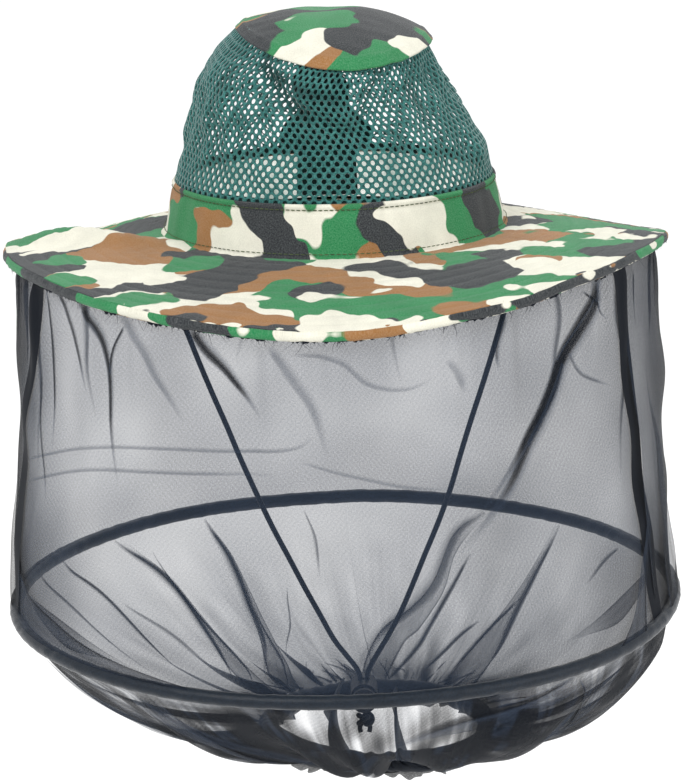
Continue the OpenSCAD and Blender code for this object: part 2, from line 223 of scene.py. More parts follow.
def tube(name, path, radius, material, sides=12, closed=False):
    """Round tube along a path; radius is one number or one for each point."""
    path = np.asarray(path, float)
    n = len(path)
    if closed:
        way = np.roll(path, -1, 0) - np.roll(path, 1, 0)
    else:
        way = np.gradient(path, axis=0)
    way /= np.linalg.norm(way, axis=1)[:, None]
    up = np.array([0.0, 0.0, 1.0]) if abs(way[:, 2]).max() < 0.95 else np.array([0.0, 1.0, 0.0])
    side = np.cross(way, up)
    side /= np.linalg.norm(side, axis=1)[:, None]
    top = np.cross(side, way)
    a = np.arange(sides) * TURN / sides
    r = np.broadcast_to(np.asarray(radius, float).reshape(-1, 1), (n, 1))[:, :, None]
    ring = path[:, None] + r * (np.cos(a)[None, :, None] * side[:, None]
                                + np.sin(a)[None, :, None] * top[:, None])
    along = np.concatenate([[0], np.cumsum(np.linalg.norm(np.diff(path, axis=0), axis=1))])
    faces = grid_faces(n, sides, close_rows=closed, close_columns=True)
    if not closed:
        faces += [tuple(range(sides)), tuple((n - 1) * sides + j for j in reversed(range(sides)))]
    piece = new_object(name, ring, faces, material)
    store(piece, "cloth", flat_cloth(along[:, None], (a * np.mean(radius))[None]), "FLOAT_VECTOR")
    return piece

def smooth_path(points, steps):
    """Catmull-Rom curve through the points, with that many steps between two of them."""
    p = np.asarray(points, float)
    p = np.vstack([2 * p[0] - p[1], p, 2 * p[-1] - p[-2]])
    out = []
    for i in range(1, len(p) - 2):
        for t in np.arange(steps) / steps:
            out.append(0.5 * (2 * p[i] + (p[i + 1] - p[i - 1]) * t
                              + (2 * p[i - 1] - 5 * p[i] + 4 * p[i + 1] - p[i + 2]) * t ** 2
                              + (3 * p[i] - 3 * p[i + 1] + p[i + 2] - p[i - 1]) * t ** 3))
    out.append(p[-2])
    return np.array(out)

# ---------------------------------------------------------------- material helpers

class Nodes:
    """A material's node tree, with short calls for the nodes used here."""

    def __init__(self, name, roughness, **fixed):
        self.material = bpy.data.materials.new(name)
        self.material.use_nodes = True
        self.tree = self.material.node_tree
        self.shader = self.tree.nodes["Principled BSDF"]
        self.output = self.tree.nodes["Material Output"]
        self.shader.inputs["Roughness"].default_value = roughness
        self.shader.inputs["Specular IOR Level"].default_value = 0.12
        for key, value in fixed.items():
            self.shader.inputs[key.replace("_", " ")].default_value = value

    def add(self, kind, inputs=None, **settings):
        node = self.tree.nodes.new(kind)
        for key, value in settings.items():
            setattr(node, key, value)
        for key, value in (inputs or {}).items():
            self.put(node.inputs[key], value)
        return node

    def put(self, socket, value):
        if isinstance(value, bpy.types.NodeSocket):
            self.tree.links.new(value, socket)
        else:
            socket.default_value = value

    def cloth(self):
        """The piece's own cloth coordinates, in metres."""
        return self.add("ShaderNodeAttribute", attribute_name="cloth").outputs["Vector"]

    def value_of(self, name):
        return self.add("ShaderNodeAttribute", attribute_name=name).outputs["Fac"]

    def place(self):
        return self.add("ShaderNodeTexCoord").outputs["Object"]

    def scaled(self, vector, scale, offset=(0, 0, 0)):
        return self.add("ShaderNodeMapping", {"Vector": vector, "Scale": scale,
                                              "Location": offset}).outputs["Vector"]

    def noise(self, vector, scale, detail=2.0, roughness=0.5):
        return self.add("ShaderNodeTexNoise", {"Vector": vector, "Scale": scale, "Detail": detail,
                                               "Roughness": roughness}).outputs["Fac"]

    def math(self, operation, a, b):
        node = self.add("ShaderNodeMath", operation=operation)
        for socket, value in zip(node.inputs, (a, b)):
            self.put(socket, value)
        return node.outputs[0]

    def ramp(self, factor, low, high, to_low=0.0, to_high=1.0):
        """Straight change of factor from low to high, clamped."""
        return self.add("ShaderNodeMapRange", {"Value": factor, "From Min": low, "From Max": high,
                                               "To Min": to_low, "To Max": to_high}).outputs[0]

    def mix(self, factor, a, b, blend="MIX"):
        node = self.add("ShaderNodeMix", data_type="RGBA", blend_type=blend)
        self.put(node.inputs["Factor"], factor)
        self.put(node.inputs["A"], a)
        self.put(node.inputs["B"], b)
        return node.outputs["Result"]

    def colour(self, value):
        self.put(self.shader.inputs["Base Color"], value)

    def rough(self, value):
        self.put(self.shader.inputs["Roughness"], value)

    def relief(self, height, distance, strength=1.0):
        node = self.add("ShaderNodeBump", {"Height": height, "Distance": distance,
                                           "Strength": strength})
        self.put(self.shader.inputs["Normal"], node.outputs["Normal"])

def rgb(red, green, blue):
    """Linear colour of an sRGB one given in 0 to 255."""
    linear = [((c / 255 + 0.055) / 1.055) ** 2.4 if c > 10 else c / 255 / 12.92
              for c in (red, green, blue)]
    return (*linear, 1.0)

# ---------------------------------------------------------------- materials

CREAM, GREEN = rgb(240, 237, 220), rgb(34, 132, 76)
CHARCOAL, BROWN = rgb(42, 45, 50), rgb(160, 112, 62)

def weave(n, vector, pitch):
    """Plain weave relief: two crossed rows of threads."""
    place = n.scaled(vector, (1 / pitch,) * 3)
    rows = [n.add("ShaderNodeTexWave", {"Vector": place, "Scale": 0.32, "Distortion": 0.4},
                  bands_direction=way).outputs["Fac"] for way in ("X", "Y")]
    return n.math("MULTIPLY", *rows)

def camouflage(name, shift, turn=0.0):
    """Printed cotton: lobed blobs of green, charcoal and brown on cream."""
    n = Nodes(name, 0.85, Sheen_Weight=0.15, Sheen_Roughness=0.5)
    cloth = n.add("ShaderNodeMapping", {"Vector": n.cloth(), "Rotation": (0, 0, turn),
                                        "Location": shift}).outputs["Vector"]
    wander = n.add("ShaderNodeTexNoise", {"Vector": cloth, "Scale": 55.0, "Detail": 1.0,
                                          "Roughness": 0.4}).outputs["Color"]
    wander = n.add("ShaderNodeVectorMath", {0: wander, 1: (0.5, 0.5, 0.5)},
                   operation="SUBTRACT").outputs["Vector"]
    wander = n.add("ShaderNodeVectorMath", {0: wander, "Scale": 0.022},
                   operation="SCALE").outputs["Vector"]
    spot = n.add("ShaderNodeVectorMath", {0: cloth, 1: wander}, operation="ADD").outputs["Vector"]
    edge = 0.004

    def blobs(offset, scale, level, stretch=(1.0, 1.7, 1.0)):
        field = n.noise(n.scaled(spot, stretch, offset), scale, 0.6, 0.35)
        return n.ramp(field, level - edge, level + edge)

    colour = n.mix(blobs((3.1, 0.4, 0), 18.0, 0.515), CREAM, BROWN)
    colour = n.mix(blobs((7.7, 2.2, 0), 16.0, 0.49), colour, GREEN)
    colour = n.mix(blobs((1.3, 9.6, 0), 17.0, 0.547), colour, CHARCOAL)
    colour = n.mix(blobs((5.9, 6.3, 0), 21.0, 0.61), colour, CREAM)
    speck = n.noise(cloth, 1300.0, 3.0, 0.75)
    colour = n.mix(n.ramp(speck, 0.4, 0.75, 0.0, 0.13), colour, rgb(225, 230, 225))
    colour = n.mix(n.ramp(speck, 0.6, 0.3, 0.0, 0.16), colour, rgb(30, 40, 34))
    # Painted shade in the cloth's dips: up to about 15% darker where this same noise sinks the relief
    # below.
    fade = n.noise(cloth, 60.0, 3.0, 0.6)
    colour = n.mix(n.ramp(fade, 0.3, 0.7, 0.16, 0.0), colour, rgb(70, 80, 70), "MULTIPLY")
    n.colour(colour)
    thread = weave(n, cloth, 0.0006)
    n.relief(n.math("ADD", thread, n.math("MULTIPLY", fade, 1.4)), 0.00025, 0.6)
    return n.material

def knit_mesh():
    """Glossy green polyester yarn of the athletic mesh, with shade painted along its folds."""
    n = Nodes("athletic_mesh", 0.5, Sheen_Weight=0.3, Sheen_Roughness=0.4)
    place = n.place()
    yarn = n.noise(place, 900.0, 3.0, 0.7)
    shade = n.noise(place, 45.0, 2.0, 0.5)
    colour = n.mix(n.ramp(yarn, 0.3, 0.7), rgb(10, 60, 60), rgb(74, 138, 132))
    colour = n.mix(n.ramp(shade, 0.3, 0.7, 0.3, 0.0), colour, rgb(16, 56, 54))
    # Painted shade: the yarn darkens to near black along the mesh's folds.
    colour = n.mix(n.value_of("fold"), colour, rgb(10, 34, 34))
    n.colour(colour)
    n.rough(n.ramp(yarn, 0.3, 0.7, 0.6, 0.42))
    n.relief(yarn, 0.0003, 0.5)
    return n.material

def dark_cloth(name, dark, light, roughness, pitch, sheen=0.25, gloss=0.12):
    """Black woven or braided cloth with its threads in relief."""
    n = Nodes(name, roughness, Sheen_Weight=sheen, Sheen_Roughness=0.4, Specular_IOR_Level=gloss)
    place = n.place()
    thread = n.noise(place, 0.7 / pitch, 3.0, 0.65)
    patch = n.noise(place, 70.0, 2.0, 0.5)
    n.colour(n.mix(n.math("MULTIPLY", n.ramp(thread, 0.3, 0.75), n.ramp(patch, 0.2, 0.8, 0.5, 1.0)),
                   dark, light))
    n.rough(n.ramp(thread, 0.3, 0.7, roughness - 0.1, roughness + 0.1))
    n.relief(thread, pitch * 0.5, 0.6)
    return n.material

def braid(name):
    """Braided cord: crossed diagonal strands along the cloth coordinates."""
    n = Nodes(name, 0.55, Sheen_Weight=0.3, Sheen_Roughness=0.4)
    cloth = n.cloth()
    density = 620
    strands = [n.add("ShaderNodeTexWave",
                     {"Vector": n.scaled(cloth, (density, way * density, 1)), "Scale": 0.5},
                     bands_direction="DIAGONAL").outputs["Fac"] for way in (1, -1)]
    strand = n.math("MAXIMUM", *strands)
    fuzz = n.noise(cloth, 3000.0, 2.0, 0.6)
    n.colour(n.mix(n.math("MULTIPLY", strand, n.ramp(fuzz, 0.2, 0.8, 0.5, 1.0)),
                   rgb(8, 11, 16), rgb(34, 41, 50)))
    n.relief(strand, 0.0004, 0.8)
    return n.material

def plain_cotton(name, colour, dark, patches=120.0, painted_glow=0.0):
    """Plain cotton; its last argument sets an emission, a painted glow that stands in for the daylight
    a thin layer passes.
    """
    n = Nodes(name, 0.9, Sheen_Weight=0.1)
    place = n.place()
    cloth_colour = n.mix(n.ramp(n.noise(place, patches, 3.0, 0.6), 0.4, 0.65), colour, dark)
    n.colour(cloth_colour)
    if painted_glow:
        # Painted light: the cloth glows by emission, as though lit through from behind.
        n.put(n.shader.inputs["Emission Color"], cloth_colour)
        n.shader.inputs["Emission Strength"].default_value = painted_glow
    n.relief(n.noise(place, 1500.0, 2.0, 0.6), 0.0003, 0.5)
    return n.material

def net_cloth(name):
    """Fine black tulle: mostly open, closing where its folds crowd the threads."""
    n = Nodes(name, 0.7)
    cloth = n.cloth()
    # Thread colour darkens from grey-blue to near black as the cover rises: painted shade where the
    # threads crowd, on top of the real light that the cover stops.
    n.colour(n.mix(n.ramp(n.value_of("cover"), 0.42, 0.74), rgb(52, 63, 80), rgb(12, 17, 25)))
    moire = n.add("ShaderNodeTexWave", {"Vector": n.scaled(cloth, (150, 120, 1)), "Scale": 1.3,
                                        "Distortion": 7.0, "Detail": 2.0, "Detail Scale": 0.1},
                  bands_direction="DIAGONAL")
    threads = n.noise(cloth, 1400.0, 2.0, 0.7)
    layers = n.math("MULTIPLY", n.ramp(moire.outputs["Fac"], 0.0, 1.0, 0.94, 1.06),
                    n.ramp(threads, 0.3, 0.7, 0.6, 1.4))
    layers = n.math("MULTIPLY", layers, n.ramp(n.noise(cloth, 22.0, 2.0, 0.5), 0.3, 0.7, 0.9, 1.1))
    light = n.math("POWER", n.math("SUBTRACT", 1.0, n.value_of("cover")), layers)
    n.put(n.shader.inputs["Alpha"], n.math("SUBTRACT", 1.0, light))
    return n.material

def metal(name, roughness):
    n = Nodes(name, roughness, Metallic=1.0)
    place = n.place()
    n.colour(n.mix(n.noise(place, 300.0, 3.0, 0.6), rgb(120, 122, 126), rgb(178, 180, 184)))
    n.rough(n.ramp(n.noise(place, 900.0, 2.0, 0.6), 0.3, 0.7, roughness - 0.08, roughness + 0.08))
    return n.material

def moulded(name):
    n = Nodes(name, 0.45, Specular_IOR_Level=0.4)
    place = n.place()
    n.colour(n.mix(n.noise(place, 200.0, 2.0, 0.5), rgb(22, 23, 25), rgb(34, 35, 38)))
    n.relief(n.noise(place, 2500.0, 2.0, 0.5), 0.0002, 0.4)
    return n.material

CAMO_BRIM = camouflage("camo_brim", (0.31, 0.12, 0))
CAMO_UNDER = camouflage("camo_brim_under", (1.7, 0.9, 0), 1.1)
CAMO_BAND = camouflage("camo_band", (2.13, 0.47, 0), 0.5)
CAMO_TIP = camouflage("camo_tip", (0.82, 1.36, 0))
CAMO_BINDING = camouflage("camo_binding", (1.1, 2.2, 0), 0.8)
MESH_YARN = knit_mesh()
STITCH = plain_cotton("stitch_thread", rgb(84, 98, 62), rgb(52, 64, 42))
# The sweatband glows with painted light (emission 0.5) so that it reads bright inside the crown.
SWEAT_COTTON = plain_cotton("sweatband_cotton", rgb(242, 243, 236), rgb(170, 184, 176), 45.0, 0.5)
FELT = plain_cotton("felt", rgb(170, 170, 160), rgb(140, 140, 132))
TULLE = net_cloth("tulle")
NET_EDGE = dark_cloth("net_edge", rgb(12, 15, 22), rgb(34, 41, 52), 0.75, 0.0009, 0.1)
# Colour of the dark inner strip, painted shade inside the crown.
INNER_SHADE_CLOTH = dark_cloth("inner_shade_cloth", rgb(14, 30, 30), rgb(30, 56, 54), 0.8, 0.0012, 0.1)
CASING = dark_cloth("casing_tape", rgb(11, 18, 27), rgb(33, 45, 58), 0.42, 0.0007, 0.2, 0.25)
ROLL = dark_cloth("neck_roll_cloth", rgb(10, 13, 19), rgb(38, 46, 57), 0.6, 0.0008, 0.15)
ELASTIC = dark_cloth("elastic", rgb(18, 21, 27), rgb(58, 63, 71), 0.6, 0.0011, 0.2)
BRAID = braid("braided_cord")
STEEL = metal("spring_steel", 0.35)
PLASTIC = moulded("black_plastic")

# ---------------------------------------------------------------- hat

def brim_edge_z(a):
    return (-BRIM_DROP + BRIM_SADDLE * np.cos(2 * a) - BRIM_TILT * np.sin(a)
            - BRIM_WAVE * np.sin(3 * a) - BRIM_TWIST * np.sin(2 * a))

def brim_z(a, r):
    """Height of the brim's upper face, with the waves of the worn cloth."""
    share = np.clip((r - HEAD_R) / (BRIM_R - HEAD_R), 0, 1.05)
    smooth = brim_edge_z(a) * share ** 1.3
    fold = math.radians(178) + math.radians(30) * (1 - share) ** 1.5
    ridge = 8 * MM * bump(turned(a, fold), 0, 0.11) * bump(share, 0.55, 0.42)
    behind = -5 * MM * bump(turned(a, fold - 0.42), 0, 0.22) * bump(share, 0.5, 0.4)
    dish = -3 * MM * bump(turned(a, math.radians(232)), 0, 0.35) * bump(share, 0.55, 0.3)
    ripple = 0.8 * MM * waves(r * np.cos(a), r * np.sin(a), 0.075, 11) * share
    return smooth + ridge + behind + dish + ripple

STITCH_ROWS = [HEAD_R + 8 * MM + i * 8.6 * MM for i in range(9)]

def quilting(r):
    """Puffed cloth between the stitch rows, sunk along each row."""
    nearest = np.min([np.abs(r - row) for row in STITCH_ROWS], axis=0)
    return 0.35 * MM * (1 - np.exp(-((nearest / (1.4 * MM)) ** 2)))

def brim_felt():
    """Stiff felt between the brim's two cotton layers, in touch with both."""
    a = once_round(241)
    r = np.linspace(HEAD_R, BRIM_R - 2.4 * MM, 40)[None]
    piece = grid("brim_felt", polar(r, a, brim_z(a, r) - 0.9 * MM), FELT)
    return thicken(piece, BRIM_STACK - 1.9 * MM, -1.0)

def brim_sheet(name, side, material, cloth_shift):
    """One printed cotton face of the brim; side is 1 above and -1 below."""
    a = once_round(361)
    r = np.linspace(HEAD_R - 1.5 * MM, BRIM_R - 1.1 * MM, 96)[None]
    pucker = 0.12 * MM * waves(r * np.cos(a), r * np.sin(a), 0.007, 5)
    z = brim_z(a, r)
    if side > 0:
        z = z + quilting(r) + pucker
    else:
        z = z - BRIM_STACK - quilting(r) - pucker
    points = polar(r, a, z)
    cloth = points * (1, 1, 0) + np.array(cloth_shift)
    piece = grid(name, points, material, cloth)
    thicken(piece, 0.9 * MM, -1.0 if side > 0 else 1.0)
    return piece

def stitches(name, routes, length, width, material):
    """Raised thread along routes, each a function of the distance along it, and its length."""
    vertices, faces = [], []
    for route, total in routes:
        count = int(total / (length * 1.25))
        for i in range(count):
            s0 = (i + 0.1) * total / count
            s1 = s0 + length
            p0, p1, up = route(s0), route(s1), route((s0 + s1) / 2, True)
            way = (p1 - p0) / np.linalg.norm(p1 - p0)
            side = np.cross(way, up)
            base = len(vertices)
            for share, fat in ((0.0, 0.25), (0.22, 1.0), (0.78, 1.0), (1.0, 0.25)):
                middle = p0 + (p1 - p0) * share + up * (width * 0.45 * (fat - 0.6))
                for c, d in ((1, 0), (0, 1), (-1, 0), (0, -1)):
                    vertices.append(middle + (side * c + up * d) * width / 2 * fat)
            for j in range(3):
                for k in range(4):
                    k2 = (k + 1) % 4
                    faces.append((base + j * 4 + k, base + j * 4 + k2,
                                  base + j * 4 + 4 + k2, base + j * 4 + 4 + k))
            faces.append((base + 3, base + 2, base + 1, base))
            faces.append((base + 12, base + 13, base + 14, base + 15))
    return new_object(name, vertices, faces, material)

def brim_row(r):
    """Route of one stitch row on the brim's upper face."""
    def route(s, normal=False):
        if normal:
            return np.array([0, 0, 1.0])
        a = REAR + s / r
        z = float(brim_z(np.array(a), np.array(r))) + 0.2 * MM
        return np.array([r * math.cos(a), r * math.sin(a), z])
    return route, TURN * r

def brim_binding():
    """Bias tape folded over the brim's edge, with small puckers."""
    a = once_round(541)
    half = BRIM_STACK / 2
    lip = 4.8 * MM
    section = [(-lip, 1.05), (-lip * 0.6, 1.16), (-lip * 0.2, 1.12), (-0.06 * lip, 0.85),
               (0, 0.35), (0, -0.35), (-0.06 * lip, -0.85), (-lip * 0.2, -1.12),
               (-lip * 0.6, -1.16), (-lip, -1.05)]
    dr = np.array([s[0] for s in section])[None]
    dz = np.array([s[1] for s in section])[None] * (half + 0.3 * MM)
    r = BRIM_R - 0.1 * MM + dr
    r = r + 0.25 * MM * waves(a * 0.17, 0 * a, 0.012, 8)
    z = brim_z(a, np.minimum(r, BRIM_R)) - half + dz + 0.12 * MM * waves(a * 0.17, dz, 0.009, 9)
    points = polar(r, a, z)
    piece = grid("brim_edge_tape", points, CAMO_BINDING, flat_cloth(a * BRIM_R, dr * 1.4 + dz))
    return thicken(piece, 0.5 * MM, -1.0)

def crown_lean(t):
    return 0.7 * t + 0.3 * t ** 4

def seam_z(a):
    return SEAM_FRONT_Z + (SEAM_SIDE_Z - SEAM_FRONT_Z) * np.cos(a) ** 2 - CROWN_TILT * np.cos(a)

def crown_dents(a, t):
    """How far the slack mesh falls in, at angle a and share t of the height."""
    ends = smooth_step(t / 0.25) * smooth_step((1 - t) / 0.22)
    fold = turned(a, math.radians(262) - (t - 0.62) * 1.9)
    crease = 7.0 * bump(fold, 0, 0.16) * bump(t, 0.72, 0.22)
    second = 4.0 * bump(turned(a, math.radians(285) + (t - 0.5) * 1.3), 0, 0.2) * bump(t, 0.5, 0.3)
    pouch = -1.6 * bump(t, 0.2, 0.16) * (0.6 + 0.4 * np.sin(3 * a + 1))
    slack = 1.6 * waves(a * 0.08, t * 0.08, 0.06, 21) + 1.0 * waves(a * 0.08, t * 0.08, 0.028, 22)
    return (crease + second + pouch + slack + 3.0 * crown_folds(a, t)) * ends * MM

def crown_folds(a, t):
    """How deep a point of the mesh lies in a fold's shadow, 0 to 1."""
    dark = 0 * a * t
    for a0, t0, a1, t1, width, strength in ((232, 0.93, 262, 0.62, 0.05, 0.8),
                                            (242, 0.86, 276, 0.74, 0.04, 0.75),
                                            (300, 0.95, 286, 0.6, 0.04, 0.5),
                                            (218, 0.8, 214, 0.5, 0.05, 0.4),
                                            (316, 0.75, 322, 0.4, 0.05, 0.4)):
        x, y = turned(a, math.radians(a0)), t - t0
        dx, dy = math.radians(a1 - a0), t1 - t0
        along = np.clip((x * dx + y * dy) / (dx * dx + dy * dy), 0, 1)
        gap = np.hypot(x - along * dx, y - along * dy)
        dark = np.maximum(dark, strength * bump(gap, 0, width) * (1 - 0.5 * along))
    return dark

def crown_point(a, t, inward):
    """Point of the mesh wall at angle a and share t of its height, that far inside the surface."""
    lean = crown_lean(t)
    d = inward + crown_dents(a, t)
    half_w = BAND_TOP_R - (BAND_TOP_R - TIP_W + 2.5 * MM) * lean - d
    half_d = BAND_TOP_R - (BAND_TOP_R - TIP_D) * lean - d
    z = BAND_TOP + (seam_z(a) - BAND_TOP) * t
    slump = -5 * MM * bump(t, 0.72, 0.26) + 2 * MM * smooth_step((t - 0.8) / 0.2)
    return np.stack(np.broadcast_arrays(half_w * np.cos(a) + slump, half_d * np.sin(a), z), -1)

def crown_inner_shade_strip():
    """Dark cloth strip inside, put as painted shade where the inside lies in shadow: up the crown's
    rear seam, round the mesh's foot and down the sweatband.
    """
    across = np.linspace(-1, 1, 9)[:, None]
    t = np.linspace(-0.02, 0.97, 30)[None]
    half = 0.17 + 0.12 * bump(t, 0.1, 0.3) + 0.04 * np.sin(14 * t)
    seam = crown_point(REAR + 0.05 + half * across, t, 1.9 * MM)
    a = once_round(181)
    foot = crown_point(a, np.linspace(-0.04, 0.03, 5)[None] + 0 * a, 1.7 * MM)
    z = np.linspace(BAND_BOTTOM, BAND_TOP, 9)[None]
    lean = (HEAD_R - BAND_TOP_R) * (z - BAND_BOTTOM) / (BAND_TOP - BAND_BOTTOM)
    down = polar(_sweat[1].x - 3.4 * MM - lean, REAR + 0.05 + 0.2 * across, z)
    return thicken(surfaces("crown_inner_shade_strip", (seam, foot, down), INNER_SHADE_CLOTH), 0.6 * MM, 1.0)

def crown_lattice():
    """Knitted mesh: staggered oval holes in hexagonal cells, more open at the rear."""
    columns, rows = 104, 25
    cell_h = 1.0 / rows
    corner = [(0, 0.68), (0.5, 0.32), (0.5, -0.32), (0, -0.68), (-0.5, -0.32), (-0.5, 0.32)]
    shared, points, faces = {}, [], []

    def vertex(u, v):
        key = (round(u * columns * 4) % (columns * 4), round(v * rows * 50))
        if key not in shared:
            shared[key] = len(points)
            points.append((u * TURN, v))
        return shared[key]

    hole_sides = 12
    for j in range(rows + 1):
        for i in range(columns):
            u = (i + 0.5 * (j % 2)) / columns
            v = (j + 0.1) * cell_h
            rim = [vertex(u + du / columns, v + dv * cell_h) for du, dv in corner]
            inner = []
            stretched = smooth_step((math.sin(u * TURN) + 0.1) / 0.4)
            open_up = 1.03 + 0.3 * float(stretched)
            for k in range(hole_sides):
                b = math.radians(90) - TURN * k / hole_sides
                inner.append(len(points))
                points.append(((u + 0.27 * open_up * math.cos(b) / columns) * TURN,
                               v + 0.46 * open_up * math.sin(b) * cell_h))
            for k in range(6):
                a0, a1 = rim[k], rim[(k + 1) % 6]
                b0, b1, b2 = inner[2 * k], inner[2 * k + 1], inner[(2 * k + 2) % hole_sides]
                faces += [(a0, a1, b1), (a0, b1, b0), (a1, b2, b1)]
    points = np.array(points)
    t = np.clip(points[:, 1], -0.02, 1.03)
    piece = new_object("crown_net_wall", crown_point(points[:, 0], t, 0.4 * MM), faces, MESH_YARN)
    # The fold value carries painted shade to the yarn's colour.
    store(piece, "fold", crown_folds(points[:, 0], t))
    return thicken(piece, 0.9 * MM, 1.0)

def band_pucker(a, z, t):
    """How far the band's cloth stands out, at height z and share t of its height."""
    small = 0.5 * MM * waves(a * HEAD_R, z * 0.35, 0.022, 31) * np.sin(math.pi * t) ** 0.6
    return small + 1.2 * MM * waves(a * HEAD_R, z * 0.3, 0.09, 32) * np.sin(math.pi * t)

def crown_band_cloth():
    """Printed band round the crown's foot, gently puckered, with its top edge turned in."""
    a = once_round(361)
    t = shares(22)
    z = BAND_BOTTOM - 0.5 * MM + (BAND_TOP - BAND_BOTTOM + 0.7 * MM) * t
    r = HEAD_R + (BAND_TOP_R - HEAD_R) * t + band_pucker(a, z, t)
    seam = bump(turned(a, math.radians(287)) * HEAD_R, 0, 1.2 * MM) * 0.8 * MM
    r = r - seam + 0.9 * MM * bump(t, 0.94, 0.035) - 0.7 * MM * bump(t, 0.88, 0.03)
    r = r + 2.2 * MM * (1 - smooth_step(t / 0.12))
    piece = grid("crown_band_cloth", polar(r, a, z), CAMO_BAND, flat_cloth(a * HEAD_R, z))
    return thicken(piece, 1.0 * MM, -1.0)

def band_row(t, lift):
    """Route of one stitch row round the crown band, at share t of its height."""
    def route(s, normal=False):
        a = REAR + s / HEAD_R
        out = np.array([math.cos(a), math.sin(a), 0.0])
        if normal:
            return out
        z = BAND_BOTTOM + (BAND_TOP - BAND_BOTTOM) * t
        r = HEAD_R + (BAND_TOP_R - HEAD_R) * t + float(band_pucker(a, z, t)) + lift
        return out * r + np.array([0, 0, z])
    return route, TURN * HEAD_R

def tip_point(a, s):
    """Point of the domed top at angle a and share s of the way from its middle to its seam."""
    rise = 1 - s ** 2.4
    x, y = (TIP_W - 1.5 * MM) * s * np.cos(a) + 2 * MM, (TIP_D + MM) * s * np.sin(a)
    z = seam_z(a) * s ** 2 + (SEAM_FRONT_Z + 4 * MM) * (1 - s ** 2)
    z = z + (CROWN_TOP_Z - SEAM_FRONT_Z - 4 * MM) * rise
    return x, y, z

def crown_tip_cloth():
    """Oval top panel, domed, with a rolled seam round it."""
    a = once_round(241)
    s = np.concatenate([np.linspace(0.0, 0.9, 26), np.linspace(0.92, 1.035, 9)])[None]
    x, y, z = tip_point(a, s)
    z = z + 0.8 * MM * waves(x, y, 0.045, 41) * (1 - s) + 0.25 * MM * waves(x, y, 0.014, 42) * s
    roll = smooth_step((s - 0.965) / 0.07)
    z = z - 1.2 * MM * roll + 0.5 * MM * bump(s, 0.955, 0.016)
    points = np.stack(np.broadcast_arrays(x, y, z), -1)
    piece = grid("crown_tip_cloth", points, CAMO_TIP, points * (1, 1, 0))
    return thicken(piece, 1.0 * MM, -1.0)

def sweatband_cloth():
    """Cotton band turned into the head opening."""
    a = once_round(181)
    t = shares(12)
    z = _sweat[0].z - 1.0 * MM + (_sweat[1].z - _sweat[0].z) * t
    r = _sweat[1].x - 1.2 * MM - (HEAD_R - BAND_TOP_R) * t * 0.9
    r = r + 0.5 * MM * waves(a * HEAD_R, z, 0.03, 51) * np.sin(math.pi * t)
    piece = grid("sweatband_cloth", polar(r, a, z), SWEAT_COTTON, flat_cloth(a * HEAD_R, z))
    return thicken(piece, 0.8 * MM, -1.0)

def build_hat():
    top = brim_sheet("brim_top_cloth", 1, CAMO_BRIM, (0, 0, 0))
    under = brim_sheet("brim_under_cloth", -1, CAMO_UNDER, (3, 3, 0))
    tape = brim_binding()
    felt = brim_felt()
    lattice = crown_lattice()
    band = crown_band_cloth()
    tip = crown_tip_cloth()
    sweat = sweatband_cloth()
    rows = [brim_row(r) for r in STITCH_ROWS] + [brim_row(BRIM_R - 4.2 * MM)]
    # Dark inner strip that paints the shade inside the crown.
    shade_strip_inside = crown_inner_shade_strip()
    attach(shade_strip_inside, "hat")
    brim_thread = stitches("brim_stitching", rows, 2.6 * MM, 0.6 * MM, STITCH)
    band_thread = stitches("band_stitching", [band_row(0.9, 0.2 * MM), band_row(0.12, 1.0 * MM)],
                           2.4 * MM, 0.5 * MM, STITCH)
    for piece, node, slot in ((top, "brim_top_layer", "camo_cotton"),
                              (under, "brim_under_layer", "camo_cotton"),
                              (tape, "brim_edge_binding", "camo_cotton"),
                              (felt, "brim_interlining", "felt"),
                              (lattice, "crown_mesh", "athletic_mesh"),
                              (band, "crown_band", "camo_cotton"),
                              (tip, "crown_tip", "camo_cotton"),
                              (sweat, "sweatband", "sweatband_cotton")):
        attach(piece, "hat")
        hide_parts(node)
    for piece in (brim_thread, band_thread):
        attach(piece, "hat")

build_hat()

# ---------------------------------------------------------------- net

# Share of the light that one open layer stops, above and below the hoop
OPEN_COVER, BAG_COVER = 0.36, 0.29
# Length of cloth that stands for the net's full height in its cloth coordinates
NET_DROP = 0.18

def crowded(cover, times):
    """Cover of the net where that many times its flat threads lie over each other."""
    return 1 - (1 - cover) ** times

def seam_angle(ends, s):
    return np.radians(ends[0] + (ends[1] - ends[0]) * s)

def net_place(a, s):
    """Smooth hang of the upper net: angle and share of the way from the brim to the hoop."""
    r = NET_TOP_R + (HOOP_R - 1 * MM - NET_TOP_R) * s ** 3 + 2.5 * MM * np.sin(math.pi * s)
    top = brim_edge_z(a) * ((NET_TOP_R - HEAD_R) / (BRIM_R - HEAD_R)) ** 1.3 - BRIM_STACK - 1 * MM
    z = top + (HOOP_Z + 0.5 * CASING_R - top) * s
    return polar(r, a, z)

def neck_tilt(a):
    """How far the worn neck gather rides up, mostly at its left and front."""
    left = bump(turned(a, math.radians(215)), 0, 1.0)
    return (2.8 * left + 1.6 * bump(turned(a, FRONT), 0, 0.6)) * MM

def bag_place(a, s):
    """Smooth hang of the lower net: share of the way from the hoop in to the neck."""
    outer, inner = HOOP_R - MM, NECK_R + NECK_CASING_R + 2 * MM
    r = outer + (inner - outer) * s ** 1.25
    top, foot = HOOP_Z - 0.5 * CASING_R, NECK_Z + 0.6 * NECK_CASING_R
    z = top + (foot - top) * np.sin(math.pi / 2 * s) ** 0.9 + 1.5 * neck_tilt(a) * s
    z = z + 3 * MM * bump(turned(a, math.radians(235)), 0, 0.6) * np.sin(math.pi * s)
    return polar(r, a, z) + np.stack([NECK_X * s + 0 * a, 0 * a * s, 0 * a * s], -1)

